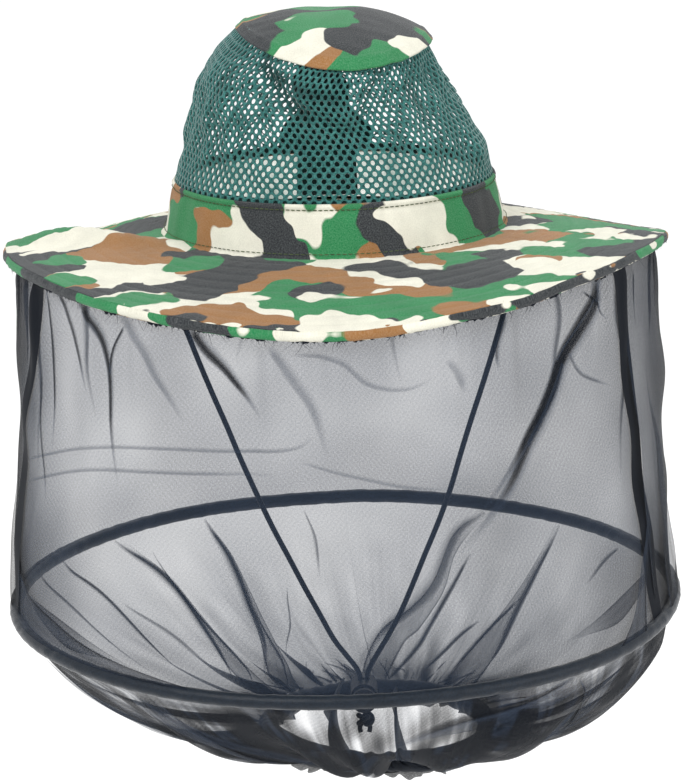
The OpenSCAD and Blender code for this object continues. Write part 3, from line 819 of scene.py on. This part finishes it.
class Net:
    """A cloth of net: its sheet with folds, and darker creases and flattened pleats over it."""

    def __init__(self, place):
        self.place = place
        self.vertices, self.faces, self.cover, self.cloth = [], [], [], []
        self.count = 0

    def add(self, points, cover, cloth):
        rows, columns = points.shape[:2]
        self.faces += grid_faces(rows, columns, start=self.count)
        self.vertices.append(points.reshape(-1, 3))
        self.cover.append(np.broadcast_to(cover, (rows, columns)).ravel())
        self.cloth.append(cloth.reshape(-1, 3))
        self.count += rows * columns

    def sheet(self, a, s, push, crowd, cover=OPEN_COVER):
        """The sheet itself, pushed out by that much and crowded that many times."""
        base = self.place(a, s)
        out = surface_normals(base)
        out = out * np.sign((out * base * (1, 1, 0)).sum(-1, keepdims=True))
        points = base + out * push[..., None]
        tilt = np.abs((surface_normals(points) * out).sum(-1))
        cover = crowded(cover, crowd / np.clip(tilt, 0.35, 1))
        self.add(points, cover, flat_cloth(a * HOOP_R, s * NET_DROP))

    def crease(self, route, widths, strength, lift, push):
        """Pinched fold: a dark band along a route of (degrees, share), tapered at both ends."""
        path = smooth_path(route, 9)
        a, s = np.radians(path[:, 0]), path[:, 1]
        share = np.linspace(0, 1, len(path))
        w = np.interp(share, np.linspace(0, 1, len(widths)), widths) * MM
        base = self.place(a, s)
        out = outward(base)
        side = np.cross(np.gradient(base, axis=0), out)
        side /= np.linalg.norm(side, axis=1)[:, None]
        across = np.array([-1, -0.6, -0.25, 0, 0.25, 0.6, 1.0])
        dark = np.array([0, 0.25, 0.6, 0.9, 1, 0.85, 0])
        points = base[:, None] + side[:, None] * (across[None, :, None] * w[:, None, None] * 0.5)
        points = points + (out * (lift * MM + push(a, s))[:, None])[:, None]
        ending = (1 - share) * 3.5 + (1 if s[-1] > 0.9 else 0)
        fade = np.minimum(1, np.minimum(share * 7 + 0.25, ending))
        cover = min(1.6 * strength, 0.97) * dark[None] * fade[:, None]
        along = a[:, None] * HOOP_R + across * w[:, None]
        self.add(points, cover, flat_cloth(along, s[:, None] * NET_DROP))

    def wedge(self, one, other, fill, lift, rises_at, push):
        """Flattened pleat between two routes of (degrees, share), dark along both edges."""
        one, other = smooth_path(one, 9), smooth_path(other, 9)
        ends_free = one[-1][1] < 0.9
        share = np.linspace(0, 1, 60)
        ends = [np.stack([np.interp(share, np.linspace(0, 1, len(route)), route[:, k])
                          for k in (0, 1)], 1) for route in (one, other)]
        fade = np.minimum(1, share * 5 + 0.15) * (0.8 + 0.25 * share)
        if ends_free:
            closing = 1 - 0.95 * smooth_step((share - 0.5) / 0.5)[:, None]
            ends[1] = ends[0] + (ends[1] - ends[0]) * closing
            fade = fade * np.minimum(1, (1 - share) * 2.5)
        c = np.array([0, 0.05, 0.11, 0.3, 0.5, 0.7, 0.89, 0.95, 1.0])[None, :, None]
        middle = ends[0][:, None] * (1 - c) + ends[1][:, None] * c
        a, s = np.radians(middle[..., 0]), middle[..., 1]
        base = self.place(a, s)
        raised = lift * MM * smooth_step((s - rises_at) / 0.4) + push(a, s)
        dark = np.array([0, 1, fill, fill * 0.85, fill, fill * 0.85, fill, 1, 0])[None]
        cover = np.minimum(0.93 * dark * fade[:, None], 0.97)
        points = base + outward(base) * raised[..., None]
        self.add(points, cover, flat_cloth(a * HOOP_R, s * NET_DROP))

    def finish(self, name, material):
        piece = new_object(name, np.concatenate(self.vertices), self.faces, material)
        store(piece, "cover", np.concatenate(self.cover))
        store(piece, "cloth", np.concatenate(self.cloth), "FLOAT_VECTOR")
        return piece

def upper_push(a, s):
    """Folds of the upper net: gathers under the brim that die out, and slow slack waves."""
    x = a * HOOP_R
    hem = 1.6 * waves(x, s * 0.01, 0.020, 61) * (1 - smooth_step(s / 0.45))
    long_folds = 2.2 * waves(x, s * 0.03, 0.055, 62) * np.sin(math.pi * np.clip(s, 0, 1)) ** 0.5
    slack = 1.2 * waves(x, s * NET_DROP, 0.06, 63) * np.sin(math.pi * np.clip(s, 0, 1))
    return (hem + long_folds + slack) * MM * smooth_step(s / 0.06)

# Creases of the net: route of (degrees, share of height), widths in mm, strength
FRONT_CREASES = [
    ([(210, 0.02), (211, 0.2), (211, 0.45)], (3, 5, 2), 0.6),
    ([(206, 0.25), (208, 0.45), (209, 0.6)], (2, 4, 2), 0.5),
    ([(214, 0.0), (218, 0.08), (220, 0.16), (223, 0.26)], (6, 5, 2), 0.55),
    ([(221, 0.0), (225, 0.07), (228, 0.16), (228, 0.32), (230, 0.48)], (9, 10, 6, 4, 2), 0.95),
    ([(231, 0.05), (229, 0.12), (228, 0.2)], (2, 3, 3), 0.6),
    ([(231, 0.0), (236, 0.09), (240, 0.17), (244, 0.27)], (10, 8, 6, 3), 0.3),
    ([(245, 0.0), (249, 0.07), (253, 0.14), (257, 0.23)], (8, 9, 6, 2), 0.8),
    ([(259, 0.03), (262, 0.1), (266, 0.2), (268, 0.33)], (5, 8, 7, 3), 0.28),
    ([(263, 0.05), (270, 0.07), (275, 0.14), (281, 0.16), (286, 0.14)], (3, 4, 4, 3, 2), 0.25),
    ([(200, 0.52), (223, 0.4), (243, 0.34), (261, 0.31), (266, 0.27)], (2, 3, 3, 3, 2), 0.3),
    ([(200, 0.58), (223, 0.46), (245, 0.4), (260, 0.38)], (2, 3, 3, 2), 0.3),
    ([(264, 0.34), (272, 0.39), (281, 0.43), (288, 0.45)], (2, 3, 3, 2), 0.25),
    ([(322, 0.0), (317, 0.11), (310, 0.24), (304, 0.37), (298, 0.5), (289, 0.63)],
     (6, 12, 13, 11, 8, 4), 0.6),
    ([(321, 0.0), (316, 0.1), (310, 0.22), (304, 0.34), (300, 0.42), (292, 0.55)],
     (12, 11, 10, 8, 6, 3), 0.95),
    ([(313, 0.17), (310, 0.25), (305, 0.34), (302, 0.42)], (3, 5, 5, 2), 0.7),
    ([(313, 0.18), (316, 0.25), (324, 0.31)], (3, 3, 2), 0.4),
    ([(316, 0.03), (323, 0.13)], (2, 2, 2), 0.6),
    ([(299, 0.02), (297, 0.1), (297, 0.16)], (3, 4, 2), 0.45),
    ([(288, 0.1), (290, 0.15), (291, 0.2)], (5, 7, 4), 0.25),
]
REAR_CREASES = [
    ([(20, 0.0), (24, 0.2), (22, 0.5), (25, 0.8)], (6, 8, 6, 2), 0.5),
    ([(48, 0.0), (44, 0.3), (46, 0.6)], (5, 7, 2), 0.45),
    ([(75, 0.02), (80, 0.3), (78, 0.6)], (4, 6, 2), 0.25),
    ([(112, 0.0), (108, 0.25), (111, 0.5)], (5, 6, 2), 0.3),
    ([(140, 0.0), (146, 0.25), (143, 0.6)], (6, 8, 2), 0.45),
    ([(166, 0.0), (162, 0.3), (165, 0.7)], (6, 8, 3), 0.5),
]
BAG_CREASES = [
    ([(164, 0.0), (161, 0.2), (164, 0.55)], (2, 4, 3), 0.5),
    ([(155, 0.0), (149, 0.2), (150, 0.45), (157, 0.75)], (2, 4, 5, 3), 0.6),
    ([(139, 0.02), (133, 0.2), (133, 0.4), (138, 0.66), (148, 0.88)], (2, 7, 8, 6, 4), 0.7),
    ([(132, 0.1), (132, 0.43), (134, 0.68), (144, 0.92)], (1, 3, 4, 3), 0.7),
    ([(146, 0.27), (142, 0.5), (144, 0.75)], (2, 4, 3), 0.4),
    ([(118, 0.02), (116, 0.2), (117, 0.4), (121, 0.6), (136, 0.88)], (2, 7, 8, 6, 4), 0.75),
    ([(116, 0.45), (121, 0.73), (134, 0.97)], (1, 4, 3), 0.6),
    ([(106, 0.36), (110, 0.55), (118, 0.75)], (1, 2, 1), 0.5),
    ([(98, 0.03), (97, 0.15), (98, 0.32)], (1, 3, 2), 0.4),
    ([(62, 0.02), (68, 0.12), (72, 0.35), (78, 0.5), (87, 0.65), (97, 0.88)],
     (4, 9, 12, 10, 8, 5), 0.45),
    ([(64, 0.2), (68, 0.4), (74, 0.7), (83, 0.97)], (2, 5, 5, 3), 0.65),
    ([(45, 0.02), (48, 0.26), (49, 0.5), (47, 0.75), (41, 0.96)], (2, 6, 8, 7, 4), 0.75),
    ([(49, 0.35), (54, 0.56), (56, 0.78), (54, 0.98)], (2, 4, 5, 3), 0.7),
    ([(28, 0.03), (31, 0.1), (33, 0.22)], (2, 4, 2), 0.5),
    ([(57, 0.5), (62, 0.62), (67, 0.8), (69, 0.98)], (2, 4, 4, 3), 0.6),
    ([(310, 0.02), (297, 0.08), (286, 0.15), (275, 0.27)], (3, 8, 8, 3), 0.5),
    ([(311, 0.03), (316, 0.25), (320, 0.5)], (2, 5, 2), 0.5),
    ([(232, 0.05), (240, 0.25), (250, 0.5), (255, 0.8)], (2, 6, 5, 3), 0.4),
    ([(205, 0.05), (214, 0.3), (222, 0.6)], (2, 6, 3), 0.4),
]

# Slack cloth bunched against the hoop's sides: two edges, how closed, lift in mm
FRONT_WEDGES = [
    ([(196, 0.84), (210, 0.9), (226, 0.95), (244, 0.99)],
     [(196, 1.0), (210, 1.01), (226, 1.01), (244, 1.01)], 0.75, 3.0),
    ([(337, 0.6), (334, 0.8), (330, 1.01)], [(336, 0.7), (328, 0.9), (320, 1.01)], 0.7, 3.0),
]
REAR_WEDGES = [
    ([(-21, 0.3), (-19, 0.7), (-18, 1.0)], [(-20, 0.4), (-11, 0.78), (2, 1.0)], 0.8, 3.6),
    ([(189, 0.35), (188, 0.7), (187, 1.0)], [(188, 0.45), (181, 0.8), (169, 1.0)], 0.8, 3.6),
]
# Flattened pleats of the bag: their two edges and how closed the cloth between them is
BAG_WEDGES = [
    ([(139, 0.02), (133, 0.2), (133, 0.4), (138, 0.66), (148, 0.98)],
     [(136, 0.05), (132, 0.2), (131, 0.43), (133, 0.68), (140, 0.98)], 0.62),
    ([(118, 0.02), (116, 0.2), (117, 0.4), (122, 0.6), (138, 0.98)],
     [(117, 0.05), (115, 0.2), (115, 0.45), (118, 0.7), (129, 0.98)], 0.62),
    ([(62, 0.02), (68, 0.12), (72, 0.35), (78, 0.5), (87, 0.65), (97, 0.98)],
     [(62, 0.04), (67, 0.2), (69, 0.4), (74, 0.6), (79, 0.72), (84, 0.98)], 0.5),
    ([(45, 0.02), (48, 0.26), (49, 0.5), (47, 0.75), (41, 0.98)],
     [(46, 0.03), (50, 0.3), (54, 0.56), (56, 0.78), (55, 0.98)], 0.6),
    ([(14, 0.02), (20, 0.2), (28, 0.5)], [(13, 0.03), (13, 0.25), (19, 0.55)], 0.75),
    ([(172, 0.02), (168, 0.2), (166, 0.5)], [(173, 0.03), (176, 0.25), (173, 0.5)], 0.7),
    ([(310, 0.02), (297, 0.08), (286, 0.15), (275, 0.27)],
     [(312, 0.06), (300, 0.14), (290, 0.22), (279, 0.34)], 0.5),
    ([(316, 0.1), (306, 0.35), (300, 0.6), (297, 0.95)],
     [(322, 0.15), (316, 0.4), (312, 0.65), (310, 0.95)], 0.7),
    ([(205, 0.05), (214, 0.3), (222, 0.6), (232, 0.95)],
     [(198, 0.1), (205, 0.35), (212, 0.65), (218, 0.95)], 0.7),
    ([(236, 0.05), (240, 0.3), (244, 0.6), (246, 0.95)],
     [(228, 0.1), (232, 0.35), (236, 0.65), (238, 0.95)], 0.65),
]

def hem_fray():
    """Raw top edge of the net, sewn under the brim's edge, with loose threads."""
    draw = np.random.default_rng(65)
    steps, loose_threads = 1081, 620
    a, t = once_round(steps), shares(4)
    ragged = 1.3 + 0.6 * waves(a * BRIM_R, 0 * a, 0.02, 66) + draw.uniform(-0.8, 0.9, (steps, 1))
    ragged[-1] = ragged[0]
    r = BRIM_R - (1.6 - 0.6 * t) * MM + 0.5 * MM * waves(a * BRIM_R, t * 0.002, 0.01, 67)
    z = brim_z(a, r) - BRIM_STACK + 0.4 * MM - np.clip(ragged, 0.4, 6) * t * MM
    points = [polar(r, a, z).reshape(-1, 3)]
    faces = grid_faces(steps, 4)
    start = len(points[0])
    for angle in draw.uniform(0, TURN, loose_threads):
        length = draw.gamma(1.6, 0.9) * MM + 1.4 * MM
        lean, out = draw.uniform(-0.9, 0.9), draw.uniform(-0.2, 0.5)
        curl = draw.uniform(-0.6, 0.6)
        rows = []
        for k in range(5):
            share = k / 4
            b = angle + (lean * share + curl * share ** 2) * length / BRIM_R
            radius = BRIM_R - 1 * MM + out * length * share
            low = float(brim_z(np.array(angle), np.array(BRIM_R))) - BRIM_STACK - length * share
            half = (0.16 - 0.09 * share) * MM / BRIM_R
            rows += [[radius * math.cos(b + w), radius * math.sin(b + w), low] for w in (-half, half)]
        points.append(np.array(rows))
        faces += [(start + 2 * k, start + 2 * k + 1, start + 2 * k + 3, start + 2 * k + 2)
                  for k in range(4)]
        start += 10
    piece = new_object("net_hem_fray", np.concatenate(points), faces, NET_EDGE)
    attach(piece, "hat")
    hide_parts("net_top_hem")

def upper_panel(name, left, right, creases, wedges):
    """Half of the upper net between two seams, from the left one round to the right one."""
    net = Net(net_place)
    s = shares(84)
    a0, a1 = seam_angle(left, s), seam_angle(right, s)
    share = np.linspace(0, 1, 260)[:, None]
    a = a0 + (a1 - a0) * share
    near_seam = bump(share, 0, 0.05) + bump(share, 1, 0.05)
    near_hem = bump(s, 0, 0.05)
    at_side = 1 - smooth_step(np.abs(np.sin(a)) / 0.5)
    near_foot = (0.5 + 2.0 * at_side) * smooth_step((s - 0.72) / 0.28)
    slack = np.clip(waves(a * HOOP_R, s * NET_DROP, 0.09, 64), -1, 2)
    at_right = bump(turned(a, math.radians(318)), 0, 0.55) * (1 - 0.3 * s)
    crowd = 1 + 0.5 * near_seam + 0.5 * near_hem + near_foot + 2.6 * at_side + 0.2 * slack
    crowd = crowd + 0.75 * at_right
    net.sheet(a, s + 0 * a, upper_push(a, s), crowd)
    for route, widths, strength in creases:
        net.crease(route, widths, strength, 0.8, upper_push)
    for one, other, fill, lift in wedges:
        net.wedge(one, other, fill, lift, 0.55, upper_push)
    return net.finish(name, TULLE)

def seam_strip(name, ends):
    """Doubled and stitched strip down one side of the net."""
    net = Net(net_place)
    s = shares(60)
    half = SEAM_W / 2 / HOOP_R
    a = seam_angle(ends, s) + np.linspace(-half, half, 9)[:, None]
    net.sheet(a, s + 0 * a, upper_push(a, s) + 0.8 * MM, 11.0 + 0 * a * s)
    return net.finish(name, TULLE)

PLEATS = 44

def pleat_angle(a):
    """Angle that runs unevenly, so that the pleats of bag and neck differ in width."""
    return a + 0.05 * np.sin(5 * a + 1) + 0.04 * np.sin(9 * a + 2)

def bag_push(a, s):
    """Pleats of the lower net: they deepen and merge towards the neck."""
    wander = pleat_angle(a) + 0.25 * (1 - s) * np.sin(3 * a)
    fine = 2.0 * np.cos(PLEATS * wander) * smooth_step((s - 0.45) / 0.55)
    middle = 3.0 * np.cos(PLEATS / 2 * wander + 0.7) * smooth_step((s - 0.15) / 0.5)
    slack = 3.0 * waves(a * HOOP_R, s * 0.05, 0.10, 71)
    ends = smooth_step(s / 0.1) * smooth_step((1.02 - s) / 0.12)
    return (fine + middle + slack) * ends * MM

def lower_bag():
    """Net from the hoop in to the neck, with pleats, creases and short random spikes at the neck."""
    net = Net(bag_place)
    a = once_round(521)
    s = shares(70)
    r = np.linalg.norm(bag_place(a, s)[..., :2] - np.array([NECK_X, 0]) * s[..., None], axis=-1)
    at_side = 1 - smooth_step(np.abs(np.sin(a)) / 0.75)
    forward = smooth_step((0.25 - np.sin(a)) / 0.7)
    streak = waves(a * HOOP_R, s * 0.02, 0.022, 72) + 0.7 * waves(a * HOOP_R, s * 0.03, 0.009, 73)
    crowd = 1 + 1.4 * (HOOP_R / r - 1) + 2.5 * bump(s, 1, 0.12) + 4 * at_side * bump(s, 0, 0.2)
    crowd = crowd + forward * smooth_step((s + 0.1) / 0.3) * (3.6 + 2.6 * streak)
    crowd = crowd + 0.7 * bump(turned(a, math.radians(40)), 0, 0.6)
    crowd = np.maximum(crowd + 0.25 * streak * smooth_step(s / 0.5), 0.6)
    net.sheet(a, s + 0 * a, bag_push(a, s), crowd, BAG_COVER)
    for route, widths, strength in BAG_CREASES:
        net.crease(route, widths, strength, 1.0, bag_push)
    draw = np.random.default_rng(74)
    for low, high, reach, count in ((20, 165, 0.2, 54), (190, 350, 0.36, 66)):
        for angle in draw.uniform(low, high, count):
            start, lean = 0.97 - reach * draw.uniform(0.3, 1.0), draw.uniform(-6, 6)
            route = [(angle + lean, start), (angle + lean * 0.3, (start + 0.98) / 2), (angle, 0.98)]
            net.crease(route, (0.8, 1.8, 3.2), draw.uniform(0.4, 0.7), 1.2, bag_push)
    for one, other, fill in BAG_WEDGES:
        net.wedge(one, other, fill, 1.4, 0.15, bag_push)
    return net.finish("lower_net_cloth", TULLE)

def declare_net(piece, node):
    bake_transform(piece)
    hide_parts(node)

def build_net():
    front = upper_panel("net_front_cloth", SEAM_LEFT, SEAM_RIGHT, FRONT_CREASES, FRONT_WEDGES)
    rear = upper_panel("net_rear_cloth", tuple(e - 360 for e in SEAM_RIGHT), SEAM_LEFT, REAR_CREASES,
                       REAR_WEDGES)
    left = seam_strip("net_seam_strip_left", SEAM_LEFT)
    right = seam_strip("net_seam_strip_right", SEAM_RIGHT)
    bag = lower_bag()
    declare_net(front, "net_front_panel")
    declare_net(rear, "net_rear_panel")
    declare_net(left, "net_side_seam_left")
    declare_net(right, "net_side_seam_right")
    declare_net(bag, "lower_net")

build_net()
hem_fray()

# ---------------------------------------------------------------- chin cords

CORD_LEFT = [(-97, -9), (-97, -13), (-96, -18), (-93, -28), (-88, -41), (-82, -55), (-76, -72),
             (-69, -91), (-62, -109), (-55, -128), (-47, -148), (-39, -167), (-30, -186),
             (-22, -203), (-14, -219), (-7, -233), (0, -243), (5, -250), (7, -256), (7, -264),
             (7, -270), (7, -276)]
CORD_RIGHT = [(97, -9), (97, -13), (97, -18), (95, -28), (92, -41), (88, -55), (83, -72),
              (77, -91), (71, -109), (65, -128), (59, -148), (52, -167), (44, -186), (37, -203),
              (30, -219), (23, -232), (17, -242), (13, -249), (11, -255), (11, -264), (11, -270),
              (11, -276)]

def chin_cord(name, node, route):
    """Braided cord from its tab at the brim, through the lock, to the knot."""
    path = smooth_path([(x * MM, 0, z * MM) for x, z in route], 4)
    piece = tube(name, path, CORD_D / 2, BRAID, sides=14)
    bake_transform(piece)
    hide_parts(node)

def rope_knot():
    """Overhand knot of both cords under the lock, with two cut tails."""
    low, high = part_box("cord_end_knot")
    centre = (low + high) / 2
    r = (high.x - low.x) / 2 - 0.45 * CORD_D
    t = np.linspace(0, TURN, 121)[:-1]
    swing = 1.0 + 0.42 * np.cos(3 * t)
    loop = np.stack([swing * np.cos(2 * t), swing * np.sin(2 * t), 0.75 * np.sin(3 * t)], 1) * r * 0.72
    middle = np.array([centre.x, centre.y, high.z - 1.05 * r])
    main = tube("cord_knot_rope", loop + middle, CORD_D * 0.48, BRAID, sides=12, closed=True)
    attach(main, "cord_lock")
    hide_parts("cord_end_knot")
    for name, way in (("cord_knot_tail_left", -1), ("cord_knot_tail_right", 1)):
        top = middle + np.array([way * 1.6 * MM, 0, -0.5 * r])
        foot = np.array([centre.x + way * 2.4 * MM, centre.y, low.z])
        bend = (top + foot) / 2 + np.array([way * 0.8 * MM, 0.4 * MM, 0])
        tail = tube(name, smooth_path([top, bend, foot], 6), CORD_D * 0.44, BRAID, sides=12)
        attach(tail, "cord_lock")

def cord_tab(name, node):
    """Rounded block of folded tape that holds a cord at the net's top edge."""
    low, high = (np.array(corner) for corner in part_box(node))
    b = np.linspace(-math.pi / 2, math.pi / 2, 25)[:, None]
    a = np.linspace(0, TURN, 49)[None]

    def soft(value):
        return np.sign(value) * np.abs(value) ** 0.45

    unit = np.stack(np.broadcast_arrays(soft(np.cos(b)) * soft(np.cos(a)),
                                        soft(np.cos(b)) * soft(np.sin(a)), soft(np.sin(b))), -1)
    size = (high - low) / 2
    points = unit * size + (low + high) / 2
    points[..., 2] += 0.25 * MM * waves(points[..., 0], points[..., 1], 0.004, 86)
    piece = grid(name, points, NET_EDGE, points)
    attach(piece, "hat")
    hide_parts(node)

rope_knot()
chin_cord("chin_cord_left_braid", "chin_cord_left", CORD_LEFT)
chin_cord("chin_cord_right_braid", "chin_cord_right", CORD_RIGHT)
cord_tab("cord_tab_tape_left", "chin_cord_tab_left")
cord_tab("cord_tab_tape_right", "chin_cord_tab_right")

# ---------------------------------------------------------------- hoop

def hoop_sleeve():
    """Casing round the wire: a knitted binding with a sewn ridge and small puckers."""
    a, b = ring_angles(520, 18)
    pucker = 0.12 * MM * waves(a * HOOP_R, b * 0.004, 0.010, 81)
    ridge = 0.5 * MM * bump(turned(b, math.radians(250)), 0, 0.35)
    tube_r = CASING_R - 0.25 * MM + pucker + ridge
    r = HOOP_R + tube_r * np.cos(b)
    z = HOOP_Z + tube_r * np.sin(b) + 0.5 * MM * waves(a * HOOP_R, 0 * b, 0.2, 82)
    cloth = flat_cloth(a * HOOP_R, b * CASING_R)
    piece = grid("hoop_sleeve", polar(r, a, z), CASING, cloth, close_rows=True, close_columns=True)
    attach(piece, "hoop")
    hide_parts("hoop_casing")

hoop_sleeve()

# ---------------------------------------------------------------- neck

def neck_roll():
    """Gathered casing round the neck elastic."""
    a, b = ring_angles(720, 20)
    gather = np.cos(PLEATS * pleat_angle(a) + 0.5 * np.sin(b + 3 * a))
    gather = gather * (0.4 + 0.6 * np.sin(4 * a + 2) ** 2)
    roll = bump(turned(a, math.radians(215)), 0, 0.45)
    flat = bump(turned(a, math.radians(312)), 0, 0.4)
    rough = bump(turned(a, math.radians(262)), 0, 0.3)
    tube_r = NECK_CASING_R * (0.9 + 0.05 * gather * (1 - roll) * (1 - flat) + 0.3 * roll)
    tube_r = tube_r + 0.5 * MM * waves(a * NECK_R, b * 0.006, 0.03, 91)
    tube_r = tube_r + 1.1 * MM * rough * waves(a * NECK_R, b * 0.006, 0.008, 92)
    r = NECK_R + NECK_CASING_R + tube_r * np.cos(b) * (1 - 0.5 * flat) + 3 * MM * flat
    z = NECK_Z + tube_r * np.sin(b) * (1 + 0.35 * flat) + 1.0 * MM * roll + neck_tilt(a)
    points = polar(r, a, z) + np.array([NECK_X, 0, 0])
    cloth = flat_cloth(a * NECK_R, b * NECK_CASING_R)
    piece = grid("neck_roll", points, ROLL, cloth, close_rows=True, close_columns=True)
    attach(piece, "neck")
    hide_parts("neck_hem_casing")

def neck_frill():
    """Raw edge of net that stands out below the neck casing."""
    a = once_round(901)
    t = shares(9)
    wave = 2.2 * np.cos(31 * a + 2.0 * np.sin(3 * a)) + 1.2 * np.cos(52 * a + np.sin(5 * a))
    r = NECK_R + NECK_CASING_R + (wave * t + 1.0 * t) * MM
    deep = 3.4 + 1.2 * np.sin(5 * a + 1) + 1.0 * np.sin(13 * a) + 0.8 * np.sin(37 * a)
    z = NECK_Z - 0.7 * NECK_CASING_R - deep * t * MM + neck_tilt(a)
    net = Net(None)
    points = polar(r, a, z) + np.array([NECK_X, 0, 0])
    net.add(points, 0.95 - 0.12 * t + 0 * a, flat_cloth(a * NECK_R, t * 0.01))
    piece = net.finish("neck_frill", TULLE)
    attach(piece, "neck")
    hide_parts("neck_ruffle")

def neck_strap(name, node, x_rear, x_front, widths):
    """Twisted elastic sewn from the rear of the neck casing to its front."""
    rear_y = math.sqrt(NECK_R ** 2 - x_rear ** 2) + 3 * MM
    front_y = -math.sqrt(NECK_R ** 2 - x_front ** 2) - 3 * MM
    steps = 60
    s = np.linspace(0, 1, steps)
    middle = np.stack([NECK_X + x_rear + (x_front - x_rear) * s, rear_y + (front_y - rear_y) * s,
                       NECK_Z - 7 * MM * np.sin(math.pi * s)], -1)
    turn = math.radians(60) + math.radians(150) * s
    width = np.interp(s, np.linspace(0, 1, len(widths)), widths)[:, None] * MM
    u = np.stack([np.cos(turn), 0 * s, np.sin(turn)], -1)
    v = np.stack([-np.sin(turn), 0 * s, np.cos(turn)], -1)
    section = [(-0.5, -0.5), (-0.25, -0.62), (0, -0.62), (0.25, -0.62), (0.5, -0.5),
               (0.5, 0.5), (0.25, 0.62), (0, 0.62), (-0.25, 0.62), (-0.5, 0.5)]
    points = np.stack([middle + u * c * width + v * d * 1.3 * MM for c, d in section], 1)
    sides = len(section)
    caps = [tuple(range(sides)), tuple(range((steps - 1) * sides, steps * sides))[::-1]]
    faces = grid_faces(steps, sides, close_columns=True) + caps
    piece = new_object(name, points, faces, ELASTIC)
    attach(piece, "neck")
    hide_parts(node)

neck_roll()
neck_frill()
neck_strap("neck_strap_left", "strap_left", -24 * MM, -20 * MM, (24, 20, 15, 9, 5))
neck_strap("neck_strap_right", "strap_right", 10 * MM, 14 * MM, (8, 7, 6, 6, 9))

# ---------------------------------------------------------------- carried-over CAD nodes

def finish_node(node, material):
    """Better material for a CAD node that is shown as it is."""
    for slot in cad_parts[node].material_slots:
        slot.material = material

for _node, _material in (("hoop_wire", STEEL), ("hoop_joiner", STEEL),
                         ("neck_elastic", ELASTIC), ("cord_lock_body", PLASTIC),
                         ("cord_lock_button", PLASTIC), ("cord_lock_spring", STEEL)):
    finish_node(_node, _material)

# ---------------------------------------------------------------- floor and light

def make_stage():
    """Pale floor under the veil, white surroundings and three soft lamps."""
    floor_mesh = bpy.data.meshes.new("floor")
    size = 14.0
    z = _ruffle[0].z - 0.35
    floor_mesh.from_pydata([(-size, -size, z), (size, -size, z), (size, size, z), (-size, size, z)],
                           [], [(0, 1, 2, 3)])
    floor = bpy.data.objects.new("floor", floor_mesh)
    bpy.context.scene.collection.objects.link(floor)
    n = Nodes("pale_floor", 0.9)
    n.colour((0.3, 0.3, 0.3, 1))
    n.shader.inputs["Emission Color"].default_value = (1, 1, 1, 1)
    n.shader.inputs["Emission Strength"].default_value = 0.82
    floor_mesh.materials.append(n.material)
    world = bpy.data.worlds.new("white")
    bpy.context.scene.world = world
    world.use_nodes = True
    world.node_tree.nodes["Background"].inputs["Color"].default_value = (1, 1, 1, 1)
    world.node_tree.nodes["Background"].inputs["Strength"].default_value = 0.72
    for name, at, width, power in (("key", (-1.1, -1.5, 1.6), 1.2, 34),
                                   ("fill", (1.6, -1.0, 0.7), 1.4, 14),
                                   ("back", (0.2, 1.7, 1.2), 1.6, 18)):
        light = bpy.data.lights.new(name, "AREA")
        light.size, light.energy = width, power
        lamp = bpy.data.objects.new(name, light)
        bpy.context.scene.collection.objects.link(lamp)
        lamp.location = at
        lamp.rotation_euler = (Vector((0, 0, -0.1)) - Vector(at)).to_track_quat("-Z", "Y").to_euler()

make_stage()

bpy.context.scene.view_settings.view_transform = "Standard"
